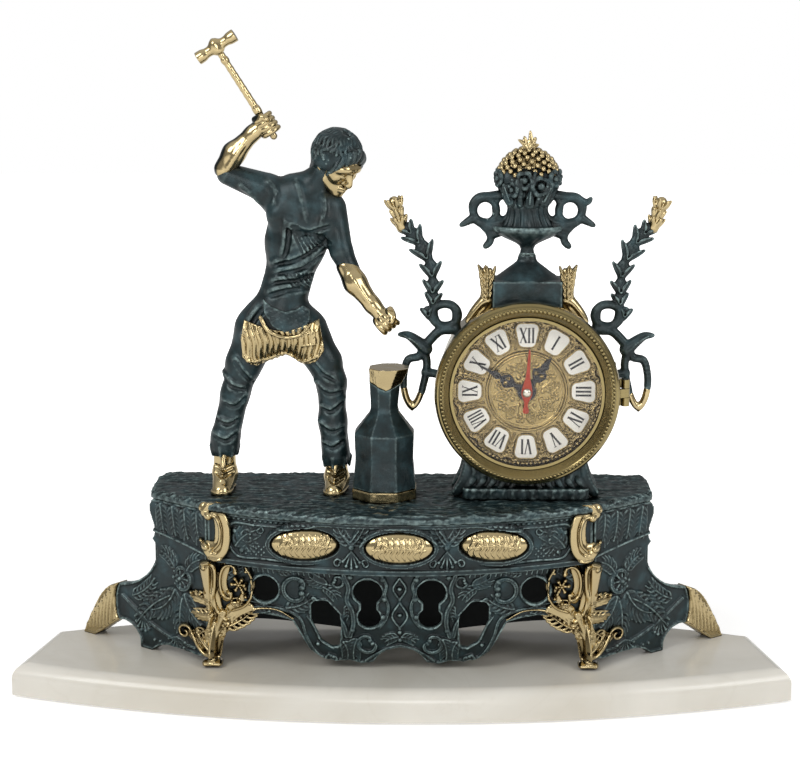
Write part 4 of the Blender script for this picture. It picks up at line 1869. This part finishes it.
def emboss_medallion(relief):
    """A wreath: a raised rim, a ring of blossoms and a bed of small curled leaves round the hub."""
    for radius, width, height in ((23.0, 1.5, 1.3), (21.2, 0.8, 0.7)):
        ring = case_ring(radius, 96)
        stroke(relief, ring + ring[:1], width, height, smooth=False)
    for index in range(8):
        x, z = on_dial(1.5 * index + 0.4, 0, 16.2)
        petals = [on_circle((x, z), 2.1, 2 * math.pi * petal / 5 + index) for petal in range(5)]
        dots(relief, petals, 2.3, 1.1)
        dots(relief, [(x, z)], 1.5, 1.3)
        hour = 1.5 * index - 0.35
        for lean in (-1, 1):
            sprig = [on_dial(hour, 0, 9.5), on_dial(hour, lean * 3.0, 14.0), on_dial(hour, lean * 1.0, 18.8)]
            stroke(relief, sprig, 1.7, 1.1, taper=0.5)
        leaf(relief, on_dial(hour, 0, 12.0), on_dial(hour, 0, 19.8), 1.2, 2.4, 1.2, 4)
    for index in range(12):
        dots(relief, [on_dial(index, 0, 9.4)], 2.5, 1.1)
        dots(relief, [on_dial(index + 0.5, 0, 6.6)], 1.9, 0.9)


def round_map(half_mm, cell):
    """A square height map about the axis of the case."""
    return height_map(
        (CASE_X_MM - half_mm, CASE_X_MM + half_mm), (CASE_Z_MM - half_mm, CASE_Z_MM + half_mm), cell
    )


MEDALLION_RISE_MM, MEDALLION_FULL_MM = 0.66, 1.3
dial_map = round_map(44.5, 0.38)
emboss_dial(dial_map)
relief_shell(
    "embossed_dial", dial_map, ["dial_plate"], FRONT_VIEW, (PRESSED_BRASS, "dial_gilt"), 0.5, ["dial_plate"]
)
medallion_map = round_map(24, 0.28)
emboss_medallion(medallion_map)
medallion_map["h"] = MEDALLION_RISE_MM * np.clip(medallion_map["h"] / MEDALLION_FULL_MM, 0, 1) ** 0.8
relief_shell(
    "embossed_medallion", medallion_map, ["dial_medallion"], FRONT_VIEW, (EMBOSSED_BRASS, "dial_gilt"), 0.4,
    ["dial_medallion"],
)


# %% [markdown]
# ## Urn, flowers and grapes
# The urn is turned, then squeezed from front to back: a shallow bowl, and a fluted calyx that opens into the
# flowers. Dark blossoms and leaves fill it, bright grapes are heaped on them, and one leaf stands on top.
# The handles are pierced scrolls with claws; only the right-hand one has an ear.

# %% Urn
URN_FLATNESS = 0.72
URN_ROWS = (
    (261.0, 0.0, 0.0), (261.0, 4.8, 0.0), (262.2, 4.1, 0.0), (264.2, 3.8, 0.0), (266.2, 4.7, 0.0),
    (267.6, 6.6, 0.1), (269.0, 9.4, 0.25), (270.8, 13.4, 0.35), (272.8, 17.2, 0.25), (274.6, 19.6, 0.1),
    (275.6, 20.4, 0.0), (276.8, 20.5, 0.0), (277.8, 20.0, 0.0), (277.9, 18.4, 0.0), (277.3, 16.2, 0.1),
    (277.6, 14.8, 0.7), (278.8, 14.0, 0.9), (280.6, 12.9, 0.9), (282.8, 12.0, 0.9), (285.2, 11.4, 0.85),
    (287.6, 11.3, 0.8), (289.8, 11.9, 0.7), (292.0, 13.0, 0.5), (292.0, 0.0, 0.0),
)
URN_SIDES, URN_FLUTES = 192, 17


def turned_urn():
    """Rows of corners round the upright axis; the flutes lean a little, as if the calyx were twisted."""
    corners = []
    for z, radius, flute in URN_ROWS:
        for side in range(URN_SIDES):
            around = 2 * math.pi * side / URN_SIDES
            wave = abs(math.sin(URN_FLUTES * (around + 0.012 * (z - 278)) / 2 + 0.9)) - 0.6
            reach = radius + flute * 1.6 * wave
            corners.append((CASE_X_MM + reach * math.cos(around), URN_FLATNESS * reach * math.sin(around), z))
    return corners, ring_faces(len(URN_ROWS), URN_SIDES)


new_piece("urn", *turned_urn(), PATINA, "case", "patina", ["urn_bowl"])

# %% [markdown]
# The handles of the urn are flat pierced scrolls. Ropes that meet in the clay give the soft joints of a
# casting, and an oval rope leaves its hole open. One function makes both, turned about the axis.

# %% Handles of the urn
CASE_WIDTH_MM = 100.0


def about_case(points):
    """Places given as shares of the case diameter, turned into millimetres."""
    return [(CASE_X_MM + x * CASE_WIDTH_MM, 0.0, CASE_Z_MM + z * CASE_WIDTH_MM) for x, z in points]


def oval(x, z, half_width, half_height, count=14):
    """Places round an upright oval."""
    turns = np.linspace(0, 2 * math.pi, count)
    return [(x + half_width * math.cos(turn), 0.0, z + half_height * math.sin(turn)) for turn in turns]


HANDLE_ROPES = (
    ([(41.6, 284.0), (41.4, 290.0), (45.0, 294.0), (51.0, 294.6), (58.0, 295.6)], 1.9, 2.6),
    ([(42.6, 282.4), (38.6, 280.2), (34.6, 277.9)], 2.5, 1.1),
    ([(43.0, 281.6), (48.0, 277.6), (51.6, 272.6), (51.4, 268.4), (48.8, 265.6)], 2.4, 1.5),
    ([(45.0, 280.0), (52.0, 279.0), (58.0, 280.0)], 2.2, 2.4),
    ([(49.6, 276.8), (54.0, 276.6), (58.5, 277.0)], 2.6, 2.6),
    ([(52.2, 272.6), (55.6, 273.6), (59.5, 275.0)], 2.3, 2.3),
)
EAR_ROPE = ([(42.6, 292.4), (38.4, 291.4), (36.6, 293.6)], 1.7, 0.9)


def urn_handle(turn):
    """One handle; turn is 1 on the left and -1 on the right."""

    def at(x):
        return CASE_X_MM + turn * (x - CASE_X_MM)

    ends = sorted((at(31), at(64)))
    form = clay((ends[0], -4, 261), (ends[1], 4, 300), 0.4)
    for points, radius, end_radius in HANDLE_ROPES + ((EAR_ROPE,) if turn < 0 else ()):
        rope(form, [(at(x), 0.0, z) for x, z in points], radius, end_radius, 1.2)
    for x, z, half_width, half_height, radius in ((48.5, 286.4, 6.7, 7.1, 1.9), (58.7, 288.1, 4.5, 6.8, 1.6)):
        rope(form, oval(at(x), z, half_width, half_height), radius, radius, 0.8)
    side_name = "left" if turn > 0 else "right"
    cast_piece("urn_scroll_" + side_name, form, PATINA, "patina", ("urn_handle_" + side_name,))


urn_handle(1)
urn_handle(-1)

# %% [markdown]
# The flowers fill the calyx: long sprays that lean outwards, ten blossoms of five petals with a button in
# the middle, and four pointed leaves in front. Petals are short ropes, set round the way the blossom faces.

# %% Bouquet
def round_axis(turn_deg, half_width, half_depth, z):
    """A place round the upright axis of the case."""
    turn = math.radians(turn_deg)
    return Vector((CASE_X_MM + half_width * math.cos(turn), half_depth * math.sin(turn), z))


bouquet = clay((50, -17, 287), (96, 17, 314), 0.38)
press(bouquet, (68, 0, 298), (78, 0, 298), 9.0, 9.0, 2.0, 0.9)
press(bouquet, (64, 0, 304), (82, 0, 304), 9.5, 9.5, 2.0, 0.95)
for spray in range(15):
    turn = 24.0 * spray + 5
    foot = round_axis(turn, 9.5, 6.5, 290.0)
    middle = round_axis(turn + 6, 14.5, 10.0, 296.0 + 1.5 * (spray % 2))
    tip = round_axis(turn + 12, 18.5, 13.2, 301.5 + 4 * (spray % 3))
    rope(bouquet, [foot, middle, tip], 2.6, 1.0, 0.7)
    rope(bouquet, [foot, middle + Vector((0, -0.9, 0)), tip], 0.9, 0.5, 0.4)
BLOOMS = (
    (200, 305.5, 1.0), (238, 299.5, 0.9), (262, 305.0, 1.1), (292, 301.5, 1.25), (325, 305.5, 1.0),
    (358, 306, 0.9), (30, 303, 1), (80, 304, 1.1), (130, 303, 1), (165, 306, 0.9),
)
for bloom, (turn, z, size) in enumerate(BLOOMS):
    middle = round_axis(turn, 17.5, 11.8, z)
    out = Vector((middle.x - CASE_X_MM, middle.y * 1.6, 0.5)).normalized()
    side = out.cross(Vector((0, 0, 1))).normalized()
    up = side.cross(out)
    press(bouquet, middle, middle + out * 1.0, 2.2 * size, 1.8 * size, 0.6)
    for petal in range(5):
        angle = math.radians(72 * petal + 25 * bloom)
        spread = side * math.cos(angle) + up * math.sin(angle)
        across = side * -math.sin(angle) + up * math.cos(angle)
        top = middle + (spread * 4.1) * size + out * 0.7
        petal_line = [
            middle + (spread * 3.0 - across * 1.8) * size, top,
            middle + (spread * 3.0 + across * 1.8) * size
        ]
        rope(bouquet, petal_line, 1.3, 1.3, 0.4)
for x, z, lean in ((66.5, 301.0, -35), (60.5, 297.5, -20), (84.0, 297.0, 25), (74.0, 296.0, 5)):
    tilt = math.radians(lean)
    along = Vector((math.sin(tilt), -0.15, math.cos(tilt)))
    middle = Vector((x, -11.2 + abs(x - CASE_X_MM) * 0.16, z))
    rope(bouquet, [middle - along * 5.0, middle, middle + along * 5.0], 2.6, 0.9, 0.5, 0.6)
    rib = [middle + along * run + Vector((0, y, 0)) for run, y in ((-4.5, -1.6), (0, -1.5), (4.0, -0.6))]
    rope(bouquet, rib, 0.7, 0.4, 0.3)
cast_piece("flowers", bouquet, PATINA, "patina", ["bouquet"])

# %% [markdown]
# The grapes are heaped up in a dome. Berries at the golden angle fill it evenly, with no rows to be seen,
# and each is a little larger or smaller than the next. A leaf of five lobes stands on top.

# %% Grapes
BERRY_COUNT, GOLDEN_DEG, BERRY_MM = 96, 137.508, 2.05
grapes = clay((52, -15, 303), (94, 15, 336), 0.34)
press(grapes, (66, 0, 310), (80, 0, 310), 7.0, 7.0, 1.0, 0.8)
press(grapes, (70, 0, 315), (77, 0, 315), 5.0, 5.0, 1.0, 0.8)
for berry in range(BERRY_COUNT):
    share = (berry + 0.5) / BERRY_COUNT
    rise = share ** 1.15
    half_width = 16.6 * math.sqrt(max(0.02, 1 - rise ** 1.5))
    turn = GOLDEN_DEG * berry
    sag = 2.2 * max(0.0, -math.sin(math.radians(turn))) * (1 - share)
    place = round_axis(turn, half_width, half_width * 0.66, 308.8 + 13.2 * rise - sag)
    size = BERRY_MM * (0.92 + 0.16 * math.sin(2.4 * berry))
    press(grapes, place, place + Vector((0, 0, 0.1)), size, size, 0.2)
LEAF_LOBES = (
    ([(73.0, 320.0), (74.2, 326.0), (74.0, 332.0)], 2.6, 0.7),
    ([(73.0, 321.0), (70.6, 325.0), (67.4, 327.2)], 2.3, 0.6),
    ([(73.0, 321.0), (76.0, 323.6), (78.6, 324.4)], 2.3, 0.6),
    ([(72.6, 322.0), (71.0, 327.2), (70.6, 329.0)], 1.6, 0.5),
    ([(73.6, 322.0), (76.4, 327.0), (77.0, 328.4)], 1.6, 0.5),
)
for points, radius, end_radius in LEAF_LOBES:
    rope(grapes, [(x, -2.0 + 0.12 * (z - 320), z) for x, z in points], radius, end_radius, 0.6, 0.5)
    rope(grapes, [(x, -3.2 + 0.12 * (z - 320), z) for x, z in points], 0.5, 0.3, 0.3)
cast_piece("grapes", grapes, GILT, "gilt", ("grape_cluster",))


# %% [markdown]
# ## Branches and pediment leaves
# Each branch climbs from the drum in overlapping bracts and ends in a bright flower. Under it hangs a long
# loop whose tip is bright as well. The right-hand branch is the mirror of the left one.

# %% Branches
STEM = [
    (-0.395, 0.310), (-0.440, 0.345), (-0.500, 0.350), (-0.535, 0.400), (-0.540, 0.480), (-0.545, 0.585),
    (-0.560, 0.725), (-0.620, 0.860), (-0.712, 0.935),
]
HOOK = [(-0.395, 0.300), (-0.410, 0.370), (-0.412, 0.440), (-0.440, 0.478), (-0.500, 0.482), (-0.540, 0.470)]
BRANCH_ROPES = (
    (STEM, 2.3, 2.0),
    (HOOK, 2.2, 2.0),
    ([(-0.430, 0.330), (-0.500, 0.325), (-0.560, 0.270), (-0.600, 0.220)], 2.7, 2.5),
    ([(-0.585, 0.215), (-0.640, 0.262), (-0.690, 0.296), (-0.740, 0.300)], 3.9, 1.2),
    ([(-0.600, 0.225), (-0.625, 0.170), (-0.690, 0.150), (-0.715, 0.060), (-0.716, -0.020)], 2.3, 1.9),
    ([(-0.600, 0.225), (-0.580, 0.140), (-0.585, 0.070), (-0.600, 0.000), (-0.612, -0.050)], 2.3, 1.8),
    ([(-0.590, 0.075), (-0.545, 0.070), (-0.500, 0.060)], 2.3, 2.1),
)
BRACTS = (
    (-0.575, 0.440, 3.6, -10), (-0.543, 0.520, 4.6, 4), (-0.546, 0.590, 5.6, 2), (-0.556, 0.690, 6.0, -8),
    (-0.600, 0.795, 7.0, -24), (-0.655, 0.880, 6.4, -36), (-0.695, 0.925, 4.6, -40),
)


def bract(form, x_share, z_share, size, lean_deg):
    """A broad scale that wraps the stem: full body, two side points, a groove down the middle."""
    middle = np.array(about_case([(x_share, z_share)])[0])
    lean = math.radians(-lean_deg)
    up, side = np.array((-math.sin(lean), 0, math.cos(lean))), np.array((math.cos(lean), 0, math.sin(lean)))
    near = np.array((0, -1.0, 0))
    press(form, middle - up * size * 1.0, middle + up * size * 0.2, 1.8, size * 0.66, 1.0, 0.62)

    def at(out, rise, proud=0.0):
        return middle + side * out * size + up * rise * size + near * proud

    for turn in (-1, 1):
        rope(form, [at(0, -0.7), at(turn * 0.55, -0.1), at(turn, 0.5)], 2.0, 0.9, 0.8, 0.8)
        rope(form, [at(0, -0.6, 2.2), at(turn * 0.35, 0, 2.8), at(turn * 0.75, 0.45, 1.4)], 0.9, 0.5, 0.5)
    rope(form, [at(0, -0.5, 2.6), at(0, 0, 4.0), at(0, 0.75, 3.2)], 0.6, 0.4, 0.4, cut=True)


branch = clay((-7, -8, 164), (42, 8, 286), 0.45)
for points, radius, end_radius in BRANCH_ROPES:
    rope(branch, about_case(points), radius, end_radius, 1.0)
rope(branch, oval(25.6, 225.2, 7.8, 6.4), 2.1, 2.1, 0.8)
for x_share, z_share, size, lean_deg in BRACTS:
    bract(branch, x_share, z_share, size, lean_deg)
vein = about_case([(-0.600, 0.215), (-0.650, 0.262), (-0.712, 0.298)])
rope(branch, [(x, -2.8, z) for x, _, z in vein], 0.9, 0.4, 0.5)
branch_left = cast_piece("bract_branch_left", branch, PATINA, "patina", ["branch_left"])
mirrored_piece(branch_left, "bract_branch_right", ["branch_right"], CASE_X_MM)
tip = clay((-6, -5, 162), (18, 5, 190), 0.4)
tip_bend = [(-0.716, -0.015), (-0.700, -0.080), (-0.668, -0.130), (-0.636, -0.100), (-0.612, -0.045)]
rope(tip, about_case(tip_bend), 1.9, 1.8, 0.8)
rope(tip, about_case([(-0.672, -0.115), (-0.666, -0.150)]), 1.9, 0.9, 0.8)
mirrored_piece(cast_piece("loop_tip_left", tip, GILT, "gilt"), "loop_tip_right", about_mm=CASE_X_MM)

# %% [markdown]
# The flower at the end of a branch is half open: three ruffs of six petals, one above the other, each ruff
# turned a little against the one below.

# %% Flowers at the ends of the branches
flower = clay((-16, -8, 271), (6, 8, 298), 0.34)
foot = np.array(about_case([(-0.728, 0.930)])[0])
lean = math.radians(16)
up = np.array((-math.sin(lean), 0, math.cos(lean)))
side, deep = np.array((math.cos(lean), 0, math.sin(lean))), np.array((0, 1, 0))
rope(flower, [foot, foot + up * 5, foot + up * 9, foot + up * 11.5], 3.0, 2.8, 1.0)
for ruff, (height, reach, rise) in enumerate(((4.2, 4.6, 2.6), (8.9, 4.0, 2.8), (14.2, 5.2, 3.9))):
    for petal in range(6):
        angle = math.radians(60 * petal + 25 * ruff)
        spread = side * math.cos(angle) + deep * math.sin(angle)
        low, middle = foot + up * (height - 2.8) + spread * 1.5, foot + up * height + spread * reach * 0.75
        rope(flower, [low, middle, foot + up * (height + rise * 0.8) + spread * reach], 1.6, 0.8, 0.5)
press(flower, foot + up * 11, foot + up * 15.5, 2.8, 3.3, 1.0)
flower_left = cast_piece("branch_flower_left", flower, GILT, "gilt", ["branch_finial_left"])
mirrored_piece(flower_left, "branch_flower_right", ["branch_finial_right"], CASE_X_MM)

# %% [markdown]
# Beside the pediment stand two gilt buds on brackets that follow the case. Their leaves overlap in four
# rows and open at the top.

# %% Leaves beside the pediment
def pediment_leaves(side_name, turn):
    """A smooth bracket along the case and a bud of overlapping leaves that opens at the top."""

    def beside(x, z, y=-8.0):
        return CASE_X_MM + turn * x * CASE_WIDTH_MM, y, CASE_Z_MM + z * CASE_WIDTH_MM

    ends = sorted((CASE_X_MM + turn * 13, CASE_X_MM + turn * 40))
    form = clay((ends[0], -15, 216), (ends[1], 4, 260), 0.42)
    rope(
        form, [beside(0.215, 0.520), beside(0.250, 0.510), beside(0.300, 0.455), beside(0.338, 0.395)], 3.4,
        2.0, 1.5
    )
    rope(form, [beside(0.215, 0.500), beside(0.260, 0.450), beside(0.300, 0.405)], 3.0, 2.2, 1.2)
    rope(
        form, [beside(0.226, 0.500), beside(0.232, 0.580), beside(0.232, 0.640), beside(0.240, 0.690)], 3.4,
        2.2, 2.0, 0.8
    )
    for step in range(4):
        z = 0.520 + 0.042 * step
        for lean in (-1, 0, 1):
            spread = 0.030 + 0.006 * step
            leaf_line = [
                beside(0.230 + lean * 0.010, z, -9.5),
                beside(0.232 + lean * spread * 0.7, z + 0.034, -11.4 + abs(lean)),
                beside(0.234 + lean * spread, z + 0.070, -10.0 + abs(lean)),
            ]
            rope(form, leaf_line, 1.9, 0.7, 0.35, 0.7)
            rope(form, [(x, y - 1.4, z_mm) for x, y, z_mm in leaf_line], 0.4, 0.3, 0.3)
    for lean, height in ((-1, 0.700), (0, 0.718), (1.4, 0.722)):
        opening = [
            beside(0.236, 0.660), beside(0.238 + lean * 0.018, 0.690, -9),
            beside(0.242 + lean * 0.030, height)
        ]
        rope(form, opening, 2.0, 0.7, 0.5)
    cast_piece("pediment_leaves_" + side_name, form, GILT, "gilt", ("pediment_mount_" + side_name,))


pediment_leaves("left", -1)
pediment_leaves("right", 1)
